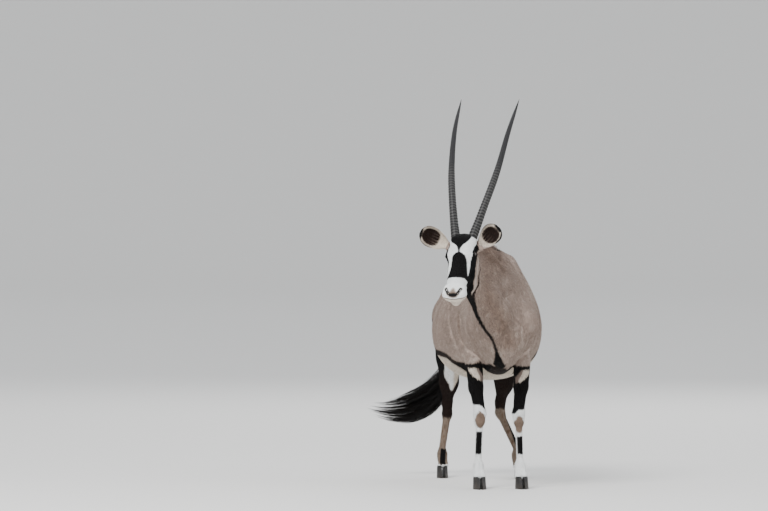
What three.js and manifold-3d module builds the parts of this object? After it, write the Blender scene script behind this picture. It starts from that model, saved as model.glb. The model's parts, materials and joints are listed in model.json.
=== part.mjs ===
// A standing gemsbok bull at life size, in millimetres, +Z up, facing -Y, its left side towards +X.
// It is built whole from bones and muscles blended into one rounded surface, and parted with thin cuts
// into head, neck, torso, legs and tail. Horns, ears, eyes and hooves are pieces of their own.
// While it is being built, the point midway between the fore hooves is the origin. At the end the animal
// is shifted, so that the middle of its footprint box is the origin.

import * as THREE from "three";
import { mergeVertices } from "three/addons/utils/BufferGeometryUtils.js";
import Module from "manifold-3d";

const wasm = await Module();
wasm.setup();

// Driving dimensions
const GAP = 0.35; // between pieces that meet
const WITHERS_HEIGHT = 1222;
const HORN_REACH = 934; // straight from the horn's base towards its tip
const HEAD_YAW = 22; // degrees, towards the animal's right
const HEAD_PITCH = 39; // degrees of the face from the vertical
const HORN_PITCH = 37.2; // degrees of the horns from the vertical
const HEAD_WIDTH = 0.96; // of the spacing of its bones
const HEAD_LENGTH = 0.93; // of their places down the face
const RUMP_SWING = 15; // of the rump towards the left
const POLL = [-257, -402, 1285]; // between the horn bases
const TAIL_LOCKS = 26;
const MANE_LOCKS = 26;

// Small vector helpers
const add = (a, b) => [a[0] + b[0], a[1] + b[1], a[2] + b[2]];
const sub = (a, b) => [a[0] - b[0], a[1] - b[1], a[2] - b[2]];
const mul = (a, k) => [a[0] * k, a[1] * k, a[2] * k];
const dot = (a, b) => a[0] * b[0] + a[1] * b[1] + a[2] * b[2];
const cross = (a, b) => [a[1] * b[2] - a[2] * b[1], a[2] * b[0] - a[0] * b[2], a[0] * b[1] - a[1] * b[0]];
const unit = (a) => mul(a, 1 / Math.hypot(...a));
const mix = (a, b, t) => a + (b - a) * t;
const mixPoint = (a, b, t) => a.map((v, i) => mix(v, b[i], t));
const clamp = (v, low, high) => Math.min(Math.max(v, low), high);
const smooth = (t) => t * t * (3 - 2 * t);
const radians = (degrees) => (degrees * Math.PI) / 180;

// A repeatable random draw between 0 and 1
function drawer(seed) {
  let state = seed;
  return () => {
    state = (state * 1664525 + 1013904223) % 4294967296;
    return state / 4294967296;
  };
}

// A smooth curve through rows [t, value, value, ...]: gives the values at any t
function through(rows) {
  const slope = (i, k) => {
    const low = rows[Math.max(i - 1, 0)];
    const high = rows[Math.min(i + 1, rows.length - 1)];
    return (high[k] - low[k]) / (high[0] - low[0]);
  };
  return (t) => {
    const at = clamp(t, rows[0][0], rows[rows.length - 1][0]);
    let i = 0;
    while (i < rows.length - 2 && at > rows[i + 1][0]) i++;
    const span = rows[i + 1][0] - rows[i][0];
    const f = (at - rows[i][0]) / span;
    const rise = smooth(f);
    return rows[i]
      .slice(1)
      .map((_, n) =>
        mix(rows[i][n + 1], rows[i + 1][n + 1], rise) +
        span * f * (1 - f) * ((1 - f) * slope(i, n + 1) - f * slope(i + 1, n + 1)),
      );
  };
}

// Forms: each is a function that gives how far a point lies outside it, negative inside
// A tapered rod with round ends, flattened by `flat` along the direction `across`
function rod(a, b, ra, rb, flat = 1, across = [1, 0, 0]) {
  const ab = sub(b, a);
  const length2 = Math.max(dot(ab, ab), 1e-9);
  return (p) => {
    const ap = sub(p, a);
    const t = clamp(dot(ap, ab) / length2, 0, 1);
    let off = sub(ap, mul(ab, t));
    if (flat !== 1) off = add(off, mul(across, (flat - 1) * dot(off, across)));
    return Math.hypot(...off) - mix(ra, rb, t);
  };
}

// Forms blended where they meet, over the width `k`
function blend(forms, k) {
  return (p) => {
    let d = 1e6;
    for (const form of forms) {
      const e = form(p);
      const h = Math.max(k - Math.abs(d - e), 0);
      d = Math.min(d, e) - (h * h) / (4 * k);
    }
    return d;
  };
}

// The barrel: backline, bellyline and half width along the body, egg-shaped across
const barrelAt = through([
  [-178, 830, 740, 40],
  [-150, 945, 650, 105],
  [-60, 1110, 604, 165],
  [30, 1196, 582, 196],
  [110, WITHERS_HEIGHT - 4, 574, 222],
  [250, 1194, 556, 264],
  [400, 1150, 540, 284],
  [550, 1124, 552, 276],
  [700, 1106, 612, 256],
  [820, 1098, 690, 212],
  [920, 1086, 760, 174],
  [1000, 1042, 820, 138],
  [1062, 955, 870, 60],
]);
const BARREL_FRONT = -178;
const BARREL_BACK = 1062;
const WIDEST = 0.42; // share of the depth at which the barrel is widest

// How far the spine swings to the left, along the body
const swing = (y) => RUMP_SWING * smooth(clamp((y - 250) / 550, 0, 1));

function barrel(p) {
  const [top, bottom, half] = barrelAt(p[1]);
  const centre = bottom + WIDEST * (top - bottom);
  const rise = p[2] - centre;
  const reach = rise > 0 ? top - centre : centre - bottom;
  const keel = mix(1.5, 2.25, smooth(clamp((p[1] + 20) / 270, 0, 1)));
  const power = rise > 0 ? 1.64 : keel;
  const side = p[0] - swing(p[1]);
  const q = (Math.abs(side / half) ** power + Math.abs(rise / reach) ** power) ** (1 / power);
  const out = Math.hypot(side, rise);
  const radial = out < 1 ? -half : out - out / q;
  const beyond = p[1] - clamp(p[1], BARREL_FRONT, BARREL_BACK);
  return beyond === 0 ? radial : Math.hypot(Math.max(radial, 0), beyond);
}

// The head's own frame: s runs from the poll down the face, l to the animal's left, n out of the face
const facing = [-Math.sin(radians(HEAD_YAW)), -Math.cos(radians(HEAD_YAW)), 0];
const downFace = add(mul(facing, Math.sin(radians(HEAD_PITCH))), [0, 0, -Math.cos(radians(HEAD_PITCH))]);
const outOfFace = add(mul(facing, Math.cos(radians(HEAD_PITCH))), [0, 0, Math.sin(radians(HEAD_PITCH))]);
const leftOfFace = [-facing[1], facing[0], 0];
const headPoint = (s, l, n) =>
  add(POLL, add(mul(downFace, s * HEAD_LENGTH), add(mul(leftOfFace, l * HEAD_WIDTH), mul(outOfFace, n))));
const headWay = (s, l, n) => unit(add(mul(downFace, s), add(mul(leftOfFace, l), mul(outOfFace, n))));
const headRod = (a, b, ra, rb, flat = 1) => rod(headPoint(...a), headPoint(...b), ra, rb, flat, leftOfFace);

// Neck, between crest and throat
const napePoint = headPoint(8, 0, -92);
const throatPoint = headPoint(126, 0, -166);
const neckForms = [
  rod(napePoint, [-98, -130, 1192], 44, 50),
  rod([-98, -130, 1192], [-6, 110, 1150], 50, 66),
  rod(headPoint(70, 0, -130), [-112, -170, 1104], 70, 94),
  rod([-112, -170, 1104], [-12, 10, 1010], 94, 148, 1.08),
  rod(throatPoint, [-112, -212, 988], 56, 80),
  rod([-112, -212, 988], [-62, -140, 880], 80, 104),
  rod([-62, -140, 880], [-20, -88, 790], 104, 104),
];

// Head, in its own frame
const eyeCentre = { s: 76, l: 61, n: -46 };
const EYE_RADIUS = 19;
const headForms = [
  headRod([-12, 0, -66], [70, 0, -62], 56, 60),
  ...[-1, 1].flatMap((side) => [
    headRod([8, side * 26, -36], [88, side * 34, -40], 34, 36), // forehead
    headRod([eyeCentre.s, side * 57, -50], [eyeCentre.s + 4, side * 58, -52], 25, 24), // brow
    headRod([108, side * 30, -72], [300, side * 20, -56], 38, 27), // cheekbone
    headRod([66, side * 40, -98], [136, side * 37, -124], 32, 30), // chewing muscle
    headRod([92, side * 34, -142], [205, side * 25, -114], 31, 23), // jaw
    headRod([205, side * 25, -114], [335, side * 12, -92], 23, 19),
    headRod([316, side * 27, -46], [340, side * 29, -48], 32, 34), // muzzle
    headRod([330, side * 30, -64], [350, side * 20, -68], 25, 20), // upper lip
    headRod([-10, side * 38, -44], [-26, side * 40, -47], 30, 27), // horn boss
    headRod([6, side * 56, -80], [2, side * 84, -82], 22, 17), // ear root
  ]),
  headRod([90, 0, -44], [300, 0, -40], 42, 30), // nose bridge
  headRod([300, 0, -40], [358, 0, -42], 30, 24),
  headRod([330, 0, -92], [350, 0, -103], 22, 21), // chin
];

// Shoulder and upper foreleg of one side
function shoulderForms(side) {
  return [
    rod([side * 62, 120, 1130], [side * 122, -85, 850], 62, 80, 1.25),
    rod([side * 118, -80, 840], [side * 124, 70, 735], 74, 60, 1.15),
    rod([side * 112, 130, 930], [side * 126, 78, 722], 84, 54, 1.25),
  ];
}

// A foreleg from the elbow down to the crown of the hoof
const foreleg = (side) => ({
  side,
  elbow: [side * 128, 66, 708],
  forearm: [side * 117, 30, 520],
  knee: [side * 101, 6, 362],
  fetlock: [side * 108, 4, 120],
  crown: [side * 109, -32, 60],
});

function forelegForms({ elbow, forearm, knee, fetlock, side }) {
  const under = (z, y = 0) => [mix(knee[0], fetlock[0], (knee[2] - z) / 240), knee[1] + y, z];
  return [
    rod([side * 122, 92, 850], elbow, 76, 56, 1.25),
    rod(elbow, forearm, 60, 41, 1.2),
    rod([side * 123, 20, 640], forearm, 46, 38, 1.15),
    rod(forearm, under(392), 38, 32, 1.1),
    rod(under(382, -3), under(346, -3), 34, 30),
    rod(under(372, 24), under(352, 26), 15, 12),
    rod(under(336), under(150), 20, 17.5),
    rod(under(336, 19), under(150, 17), 11, 10),
    ...footForms(fetlock, 1),
  ];
}

// Haunch of one side: hip, stifle and buttock
const hindleg = (side, hip, stifle, thigh, gaskin, hock, fetlock, crown) => ({
  side, hip, stifle, thigh, gaskin, hock, fetlock, crown,
});
function haunchForms({ hip, stifle, thigh }) {
  return [
    rod(hip, stifle, 92, 70, 1.15),
    rod(add(hip, [0, 60, -20]), add(thigh, [0, 62, 110]), 84, 78, 1.15),
    rod(add(thigh, [0, -6, 190]), thigh, 124, 92, 1.32),
  ];
}

// A hind leg from the haunch down to the crown of the hoof
function hindlegForms(leg) {
  const { side, thigh, gaskin, hock, fetlock } = leg;
  const point = add(hock, [0, 40, 38]);
  const shankTop = add(hock, [0, 0, -42]);
  const shankEnd = add(fetlock, [0, 0, 28]);
  const behind = (p, y) => add(p, [0, y, 0]);
  return [
    ...haunchForms(leg),
    rod(thigh, gaskin, 92, 60, 1.3),
    rod(gaskin, add(hock, [0, -4, 16]), 60, 26, 1.2),
    rod(add(thigh, [0, 62, 30]), add(gaskin, [0, 40, 0]), 60, 30, 1.15),
    rod(add(gaskin, [0, 40, 0]), point, 28, 14),
    rod(point, add(hock, [0, 18, -30]), 15, 18),
    rod(add(hock, [0, 0, 20]), shankTop, 27, 23),
    rod(shankTop, shankEnd, 20, 17),
    rod(behind(shankTop, 19), behind(shankEnd, 16), 11, 9),
    ...footForms(fetlock, 0.84),
  ];
}

// Fetlock, dewclaws and the two short pasterns above the cloven hoof
function footForms(fetlock, size) {
  const at = (x, y, z) => add(fetlock, [x * size, y, z]);
  return [
    rod(at(0, 0, 4), at(0, 2, -6), 25 * size, 24 * size),
    rod(at(0, 16, -4), at(0, 17, -14), 15 * size, 13 * size),
    ...[-1, 1].flatMap((half) => [
      rod(at(half * 8, 0, -6), at(half * 16, -34, -58), 18 * size, 18.5 * size),
      rod(at(half * 14, 22, -26), at(half * 16, 32, -36), 9, 6.5),
    ]),
  ];
}

const FORELEGS = { left: foreleg(1), right: foreleg(-1) };
const HINDLEGS = {
  left: hindleg(
    1, [96, 900, 940], [166, 788, 745], [146, 900, 655], [181, 955, 505],
    [167, 1000, 380], [243, 915, 124], [253, 880, 62],
  ),
  right: hindleg(
    -1, [-86, 910, 940], [-150, 805, 740], [-117, 918, 655], [-110, 985, 505],
    [-110, 1042, 374], [-141, 1012, 124], [-147, 978, 62],
  ),
};

// Whole forms
const BODY_BLEND = 46;
const LIMB_BLEND = 18;
const HEAD_BLEND = 20;
const headField = blend(headForms, HEAD_BLEND);
const trunkField = blend(
  [
    barrel,
    ...shoulderForms(1),
    ...shoulderForms(-1),
    ...haunchForms(HINDLEGS.left),
    ...haunchForms(HINDLEGS.right),
    rod([RUMP_SWING, 950, 1030], [RUMP_SWING, 1045, 978], 42, 30), // tail root
    ...neckForms,
  ],
  BODY_BLEND,
);
const wholeField = blend([trunkField, headField], 34);

// Surface worked out by rays: rings of `sides` rays leave the stations of an axis and stop at the form.
// A station holds its centre, two directions across, the way along, a tilt, and the rays' longest reach.
function rayed(stations, sides, field, level = 0) {
  const rings = stations.map(({ centre, u, v, along, tilt = 0, reach }) => {
    const ring = [];
    for (let j = 0; j < sides; j++) {
      const turn = (2 * Math.PI * j) / sides;
      const flatWay = add(mul(u, Math.cos(turn)), mul(v, Math.sin(turn)));
      const way = add(mul(flatWay, Math.cos(radians(tilt))), mul(along, Math.sin(radians(tilt))));
      ring.push(add(centre, mul(way, hit(centre, way, reach, field, level))));
    }
    return ring;
  });
  return ringsToSolid(rings);
}

// How far a ray runs before it leaves the form
function hit(from, way, reach, field, level) {
  const at = (r) => field(add(from, mul(way, r))) - level;
  let low = 0;
  let high = 2;
  while (high < reach && at(high) < 0) {
    low = high;
    high += Math.max(3, Math.min(14, -at(high) * 0.8));
  }
  if (high >= reach) return reach;
  for (let k = 0; k < 12; k++) {
    const middle = (low + high) / 2;
    if (at(middle) < 0) low = middle;
    else high = middle;
  }
  return (low + high) / 2;
}

// Rings of points joined into one closed body, with a fan over each end ring
function ringsToSolid(rings) {
  const sides = rings[0].length;
  const positions = rings.flat(2);
  const faces = [];
  for (let i = 0; i + 1 < rings.length; i++) {
    for (let j = 0; j < sides; j++) {
      const [a, b] = [i * sides + j, i * sides + ((j + 1) % sides)];
      const [c, d] = [a + sides, b + sides];
      faces.push(a, b, d, a, d, c);
    }
  }
  for (const [i, turned] of [[0, true], [rings.length - 1, false]]) {
    const middle = rings[i].reduce((sum, p) => add(sum, mul(p, 1 / sides)), [0, 0, 0]);
    const hub = positions.length / 3;
    positions.push(...middle);
    for (let j = 0; j < sides; j++) {
      const [a, b] = [i * sides + j, i * sides + ((j + 1) % sides)];
      faces.push(...(turned ? [b, a, hub] : [a, b, hub]));
    }
  }
  return solidFrom(positions, faces);
}

// A closed surface as a solid, turned so that its faces point out
function solidFrom(positions, faces) {
  const geometry = new THREE.BufferGeometry();
  geometry.setAttribute("position", new THREE.Float32BufferAttribute(positions, 3));
  geometry.setIndex(faces);
  return solidOf(geometry);
}

function solidOf(geometry) {
  const bare = geometry.clone();
  bare.deleteAttribute("normal");
  bare.deleteAttribute("uv");
  const merged = mergeVertices(bare, 1e-4);
  const vertProperties = new Float32Array(merged.attributes.position.array);
  const triVerts = new Uint32Array(merged.index.array);
  const make = () => new wasm.Manifold(new wasm.Mesh({ numProp: 3, vertProperties, triVerts }));
  const made = make();
  if (made.volume() >= 0) return made;
  triVerts.reverse();
  return make();
}

// A solid's largest closed body
function largest(solid) {
  return solid.decompose().reduce((best, s) => (s.volume() > best.volume() ? s : best));
}

// A long box whose one face lies on the plane through `point`, and which fills the side of `normal`
const BLOCK = 3000;
function beyondPlane(point, normal) {
  const geometry = new THREE.BoxGeometry(BLOCK, BLOCK, BLOCK);
  geometry.translate(0, 0, BLOCK / 2);
  const turn = new THREE.Quaternion().setFromUnitVectors(
    new THREE.Vector3(0, 0, 1),
    new THREE.Vector3(...unit(normal)),
  );
  geometry.applyQuaternion(turn);
  geometry.translate(...point);
  return solidOf(geometry);
}

function box(low, high) {
  const geometry = new THREE.BoxGeometry(...sub(high, low));
  geometry.translate(...mul(add(low, high), 0.5));
  return solidOf(geometry);
}

function ball(centre, radii, ways, segments = 14) {
  const geometry = new THREE.SphereGeometry(1, segments, Math.round(segments * 0.7));
  geometry.scale(...radii);
  if (ways) geometry.applyMatrix4(new THREE.Matrix4().makeBasis(...ways.map((w) => new THREE.Vector3(...w))));
  geometry.translate(...centre);
  return solidOf(geometry);
}

// Torso
const TORSO_SIDES = 28;
const AXIS_HEIGHT = 876;
function trunkStations() {
  const across = { u: [1, 0, 0], v: [0, 0, 1], along: [0, -1, 0], reach: 430 };
  const at = (y, tilt = 0, z = AXIS_HEIGHT) => ({ ...across, centre: [0, y, z], tilt });
  const stations = [];
  for (const tilt of [80, 60, 42, 28, 14]) stations.push(at(-70, tilt, 850));
  for (let i = 0; i <= 21; i++) stations.push(at(mix(-50, 960, i / 21)));
  for (const tilt of [-14, -28, -42, -58, -76]) stations.push(at(965, tilt, 895));
  return stations;
}

// Where the pieces of the body part
const neckCut = { point: [-30, -66, 1000], way: unit([-0.25, -0.7, 0.67]) };
const headCut = { point: headPoint(0, 0, -112), way: headWay(0.578, 0, 0.816) };

function trunkBody(level = 0) {
  return rayed(trunkStations(), TORSO_SIDES, trunkField, level);
}

// Neck
const NECK_SIDES = 22;
function neckBody(level = 0) {
  const line = new THREE.CatmullRomCurve3(
    [[0, 130, 930], [-30, -20, 1000], [-105, -165, 1085], [-180, -265, 1140], headPoint(60, 0, -80)].map(
      (p) => new THREE.Vector3(...p),
    ),
  );
  const stations = [];
  const COUNT = 15;
  for (let i = 0; i <= COUNT; i++) {
    const centre = line.getPointAt(i / COUNT).toArray();
    const along = line.getTangentAt(i / COUNT).toArray();
    const u = unit(cross(along, [0, 0, 1]));
    const v = cross(u, along);
    stations.push({ centre, u, v, along, reach: 290 });
  }
  return rayed(stations, NECK_SIDES, wholeField, level);
}

// A flat, tapered lock of hair that follows the points of `path`, wide across `side`, thick across `up`
function lock(path, width, thickness, side, sections) {
  const rings = [];
  const curve = new THREE.CatmullRomCurve3(path.map((p) => new THREE.Vector3(...p)));
  for (let i = 0; i <= sections; i++) {
    const t = i / sections;
    const centre = curve.getPoint(t).toArray();
    const along = curve.getTangent(t).toArray();
    const across = unit(sub(side, mul(along, dot(side, along))));
    const up = cross(along, across);
    const taper = Math.max((1 - t ** 2.2) ** 0.8, 0.06);
    const [w, h] = [(width / 2) * taper, (thickness / 2) * Math.max(taper, 0.2)];
    rings.push([add(centre, mul(across, w)), add(centre, mul(up, h)), add(centre, mul(across, -w))]);
  }
  return ringsToSolid(rings);
}

// Short mane: locks along the crest, from behind the ears to the withers, leaning back
function maneLocks() {
  const draw = drawer(7);
  const crest = new THREE.CatmullRomCurve3(
    [napePoint, [-160, -235, 1206], [-98, -130, 1192], [-44, -10, 1180], [-10, 84, 1164]].map(
      (p) => new THREE.Vector3(...p),
    ),
  );
  const locks = [];
  for (let i = 0; i < MANE_LOCKS; i++) {
    const t = mix(0.1, 0.93, i / (MANE_LOCKS - 1));
    const centre = crest.getPointAt(t).toArray();
    const back = crest.getTangentAt(t).toArray();
    const level = unit(cross(back, [0, 0, 1]));
    const up = unit(cross(level, back));
    const lean = (i % 3 === 0 ? 0 : i % 3 === 1 ? 0.22 : -0.22) + (draw() - 0.5) * 0.1;
    const rise = unit(add(up, mul(level, lean)));
    const skin = hit(centre, rise, 120, wholeField, 0);
    const root = add(centre, mul(rise, skin - 12));
    const height = mix(26, 36, draw()) * (t > 0.8 ? 0.75 : 1);
    const tip = add(add(root, mul(rise, height + 10)), mul(back, 20 + 8 * draw()));
    const middle = add(add(root, mul(rise, height * 0.62 + 4)), mul(back, 4));
    locks.push(lock([root, middle, tip], 24, 9, back, 3));
  }
  return locks;
}

// Head
const HEAD_SIDES = 24;
function headBody(level = 0) {
  const across = { u: leftOfFace, v: outOfFace, along: downFace, reach: 118 };
  const middle = (s) => mix(-72, -58, clamp(s / 300, 0, 1));
  const at = (s, tilt = 0) => ({ ...across, centre: headPoint(s, 0, middle(s)), tilt });
  const stations = [];
  for (const tilt of [-80, -58, -38, -20]) stations.push(at(14, tilt));
  for (let i = 0; i <= 18; i++) stations.push(at(mix(14, 334, i / 18)));
  for (const tilt of [18, 38, 58, 78]) stations.push(at(334, tilt));
  return rayed(stations, HEAD_SIDES, wholeField, level);
}

// Eyes sit in sockets that the lids close down to an almond
const eyeWay = (side) => headWay(-0.06, side * 0.86, 0.44);
const eyeAt = (side) => headPoint(eyeCentre.s, side * eyeCentre.l, eyeCentre.n);
function eyeBall(side, inflate = 0) {
  const radius = EYE_RADIUS + inflate;
  return ball(eyeAt(side), [radius, radius, radius], null, 12);
}

function eyeWays(side) {
  const out = eyeWay(side);
  const long = unit(sub(headWay(0.9, 0, -0.35), mul(out, dot(headWay(0.9, 0, -0.35), out))));
  return [long, cross(out, long), out];
}

// Nostrils: slanting pits, high outside and low inside
function nostril(side) {
  const centre = headPoint(348, side * 31, -22);
  const long = headWay(0.62, -side * 0.62, 0.2);
  const out = headWay(0.62, side * 0.35, 0.7);
  const flat = unit(sub(out, mul(long, dot(out, long))));
  return ball(centre, [17, 7, 15], [long, cross(flat, long), flat], 10);
}

// The line of the mouth: a thin blade that runs round the muzzle under the upper lip
function mouthBlade() {
  const HALF = 8;
  const rings = [];
  for (let i = -HALF; i <= HALF; i++) {
    const turn = (i / HALF) * 1.62;
    const s = 304 + 62 * Math.cos(turn);
    const n = -76 - 6 * Math.abs(Math.sin(turn));
    const from = headPoint(296, 0, n);
    const way = unit(sub(headPoint(s, 54 * Math.sin(turn), n), from));
    const out = hit(from, way, 110, headField, 0);
    const depth = mix(7, 2.5, Math.abs(i / HALF));
    const thick = mix(3.2, 1.4, Math.abs(i / HALF));
    const [inner, outer] = [add(from, mul(way, out - depth)), add(from, mul(way, out + 9))];
    const lift = mul(headWay(0, 0, 1), thick / 2);
    rings.push([sub(inner, mul(lift, 0.3)), sub(outer, lift), add(outer, lift), add(inner, mul(lift, 0.3))]);
  }
  return ringsToSolid(rings);
}

function headPiece(whole) {
  let head = whole.subtract(beyondPlane(add(headCut.point, mul(headCut.way, GAP / 2)), mul(headCut.way, -1)));
  for (const side of [-1, 1]) {
    const ways = eyeWays(side);
    const out = ways[2];
    const brow = ball(add(eyeAt(side), mul(out, 6)), [26, 19, 15.5], ways, 10);
    const slit = ball(add(eyeAt(side), mul(out, 17)), [17.5, 10.5, 12], ways, 12);
    head = head.add(brow).subtract(slit).subtract(eyeBall(side, GAP)).subtract(nostril(side));
    head = head.subtract(hornBody(side, 5, GAP));
  }
  return largest(head.subtract(mouthBlade()));
}

// Horns: long ringed spears in line with the face, bowed slightly forward and out at mid length.
// Their feet are sunk in the head.
const HORN_SIDES = 10;
const HORN_RINGS = 20;
const RINGED = 0.5; // share of the length that carries rings
const hornRadius = through([
  [0, 24],
  [0.04, 25.4],
  [0.12, 23],
  [0.24, 20.6],
  [0.4, 19.4],
  [0.5, 17.2],
  [0.6, 15.2],
  [0.72, 13],
  [0.86, 9],
  [0.94, 5],
  [1, 0.7],
]);
const hornUp = add(mul(facing, -Math.sin(radians(HORN_PITCH))), [0, 0, Math.cos(radians(HORN_PITCH))]);
const hornFront = cross(leftOfFace, hornUp);

function hornLine(side) {
  const base = headPoint(-18, side * 39, -44);
  const way = (rise, l, n) =>
    add(base, add(mul(hornUp, rise), add(mul(leftOfFace, side * l), mul(hornFront, n))));
  return new THREE.CatmullRomCurve3(
    [
      way(-12, 0, 0),
      way(HORN_REACH * 0.2, 41, 19),
      way(HORN_REACH * 0.45, 81, 24),
      way(HORN_REACH * 0.72, 103, 18),
      way(HORN_REACH, 115, -42),
    ].map((p) => new THREE.Vector3(...p)),
  );
}

// Stops along a horn: share of the length, and how far the ring stands out there
function hornStops() {
  const stops = [[0, 0]];
  const step = (RINGED - 0.03) / HORN_RINGS;
  for (let i = 0; i < HORN_RINGS; i++) {
    const t = 0.03 + i * step;
    const height = 2.1 * (1 - smooth(i / HORN_RINGS) * 0.75);
    stops.push([t, -height * 0.45], [t + step * 0.62, height]);
  }
  for (const t of [0.515, 0.58, 0.66, 0.74, 0.82, 0.89, 0.95, 0.995]) stops.push([t, 0]);
  return stops;
}

// The first `count` stops of a horn as a body, larger all round by `grow`
function hornBody(side, count, grow) {
  const line = hornLine(side);
  const rings = hornStops().slice(0, count).map(([t, bump], i) => {
    const along = line.getTangentAt(t).toArray();
    const centre = sub(line.getPointAt(t).toArray(), mul(along, i === 0 ? grow : 0));
    const u = unit(cross(along, hornFront));
    const v = cross(along, u);
    const r = Math.max(hornRadius(t)[0] + bump, 0.8) + grow * 1.1;
    return Array.from({ length: HORN_SIDES }, (_, j) => {
      const turn = (2 * Math.PI * j) / HORN_SIDES;
      return add(centre, add(mul(u, r * 0.94 * Math.cos(turn)), mul(v, r * 1.04 * Math.sin(turn))));
    });
  });
  return ringsToSolid(rings);
}

// Ears: a broad cupped leaf on a rolled stalk. Rows: share of the length, half width, half angle of the roll.
const earShape = through([
  [0, 15, 150],
  [0.14, 21, 128],
  [0.3, 37, 94],
  [0.5, 49, 72],
  [0.7, 52, 60],
  [0.86, 43, 52],
  [0.96, 26, 44],
  [1, 12, 40],
]);

function ear(root, way, opening, length) {
  const along = unit(way);
  const open = unit(sub(opening, mul(along, dot(opening, along))));
  const side = cross(along, open);
  const ROWS = 11;
  const COLUMNS = 8;
  const rings = [];
  for (let i = 0; i <= ROWS; i++) {
    const t = i / ROWS;
    const [half, angle] = earShape(t);
    const turn = radians(angle);
    const radius = half / Math.max(Math.sin(Math.min(turn, Math.PI / 2)), 0.2);
    const wall = mix(3.2, 1.6, t);
    const bend = mul(open, -14 * t * t);
    const centre = add(add(add(root, mul(along, length * t)), bend), mul(open, radius * Math.cos(turn)));
    const arc = (r) =>
      Array.from({ length: COLUMNS }, (_, j) => {
        const a = mix(-turn, turn, j / (COLUMNS - 1));
        return add(centre, add(mul(open, -r * Math.cos(a)), mul(side, r * Math.sin(a))));
      });
    rings.push([...arc(radius + wall * 0.5), ...arc(Math.max(radius - wall, radius * 0.35)).reverse()]);
  }
  return ringsToSolid(rings);
}

// Hooves: two pointed claws a side, flat underneath, their toes a little apart
function claw(crown, half, size) {
  const LENGTH = 102 * size;
  const SIDES = 12;
  const heel = crown[1] + 25;
  const ring = (z, across, along, lean) =>
    Array.from({ length: SIDES }, (_, j) => {
      const turn = (2 * Math.PI * j) / SIDES;
      const share = (1 - Math.cos(turn)) / 2;
      const swell = Math.sin(turn);
      const wide = (swell > 0 ? 33 : 1) * size * across;
      const waist = (1 - share ** 2.4) ** 0.75 * Math.min(1, 0.6 + share * 2);
      const x = half * (2.6 + 5 * share + wide * Math.abs(swell) ** 0.7 * waist);
      return [crown[0] + x, heel + lean - LENGTH * share * along, z];
    });
  const top = crown[2];
  return largest(
    ringsToSolid([ring(0, 1, 1, 0), ring(6, 1, 0.99, -1), ring(top * 0.55, 0.95, 0.8, -3), ring(top, 0.92, 0.6, -6)]),
  );
}

// Tail: the dock hangs from the rump, and its long tuft swings out to the animal's right
const tailLine = new THREE.CatmullRomCurve3(
  [
    [15, 1020, 1004],
    [12, 1080, 962],
    [2, 1116, 870],
    [-16, 1136, 740],
    [-46, 1142, 612],
    [-98, 1140, 502],
    [-174, 1132, 422],
    [-264, 1123, 371],
    [-360, 1113, 350],
    [-450, 1104, 354],
    [-540, 1096, 374],
  ].map((p) => new THREE.Vector3(...p)),
);
const TUFT_START = 0.27;
const TUFT_GAP = 0.0012; // share of the tail's line left open between dock and tuft
const CORE_END = 0.62;

function tailFrame(t) {
  const centre = tailLine.getPointAt(t).toArray();
  const along = tailLine.getTangentAt(t).toArray();
  const u = unit(cross(along, [0, 1, 0]));
  return { centre, along, u, v: cross(along, u) };
}

function tailTube(from, to, radiusAt, sides, steps) {
  const rings = [];
  for (let i = 0; i <= steps; i++) {
    const t = mix(from, to, i / steps);
    const { centre, u, v } = tailFrame(t);
    const r = radiusAt(t);
    rings.push(
      Array.from({ length: sides }, (_, j) => {
        const turn = (2 * Math.PI * j) / sides;
        return add(centre, add(mul(u, r * Math.cos(turn)), mul(v, r * Math.sin(turn))));
      }),
    );
  }
  return ringsToSolid(rings);
}

// The tuft's solid heart, to half way to the tips of its hair
function tuftCore() {
  const swell = through([
    [TUFT_START, 15],
    [0.36, 26],
    [0.46, 34],
    [0.56, 30],
    [CORE_END, 8],
  ]);
  return tailTube(TUFT_START, CORE_END, (t) => swell(t)[0], 9, 8);
}

// Long locks that leave the heart all round, and end at different lengths
function tuftLocks() {
  const draw = drawer(23);
  const locks = [];
  for (let i = 0; i < TAIL_LOCKS; i++) {
    const spreadTo = mix(-76, 92, (i * 0.382 + 0.1) % 1); // across the tail's line, down to up
    const start = mix(TUFT_START + 0.04, CORE_END - 0.12, (i * 0.618) % 1);
    const end = clamp(mix(0.8, 1.02, draw()) - Math.abs(spreadTo) * 0.001, 0.7, 1);
    const sideways = (draw() - 0.5) * 44;
    const path = [];
    const STOPS = 4;
    for (let k = 0; k <= STOPS; k++) {
      const f = k / STOPS;
      const t = mix(start, end, f);
      const { centre, u, v } = tailFrame(t);
      const close = 1 - 0.75 * smooth(clamp((t - 0.72) / 0.28, 0, 1));
      const sunk = spreadTo < 0 ? mix(0.42, 1, smooth(clamp((t - 0.42) / 0.3, 0, 1))) : 1;
      const upTo = mix(spreadTo * 0.2, spreadTo, Math.sin((f * Math.PI) / 2)) * close * sunk;
      const offset = add(mul(u, -upTo), mul(v, sideways * (0.3 + f)));
      path.push(add(centre, offset));
    }
    locks.push(lock(path, mix(24, 36, draw()), 12, tailFrame(start).u, 6));
  }
  return locks;
}

// Limbs, in rays along a line through them
function limbBody(points, field, level) {
  const line = new THREE.CatmullRomCurve3(points.map((p) => new THREE.Vector3(...p)));
  const COUNT = 27;
  const SIDES = 12;
  const stations = [];
  for (let i = 0; i <= COUNT; i++) {
    const centre = line.getPointAt(i / COUNT).toArray();
    const along = line.getTangentAt(i / COUNT).toArray();
    const u = unit(cross([0, 1, 0], along));
    stations.push({ centre, u, v: cross(along, u), along, reach: 170 });
  }
  return rayed(stations, SIDES, field, level);
}

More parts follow.
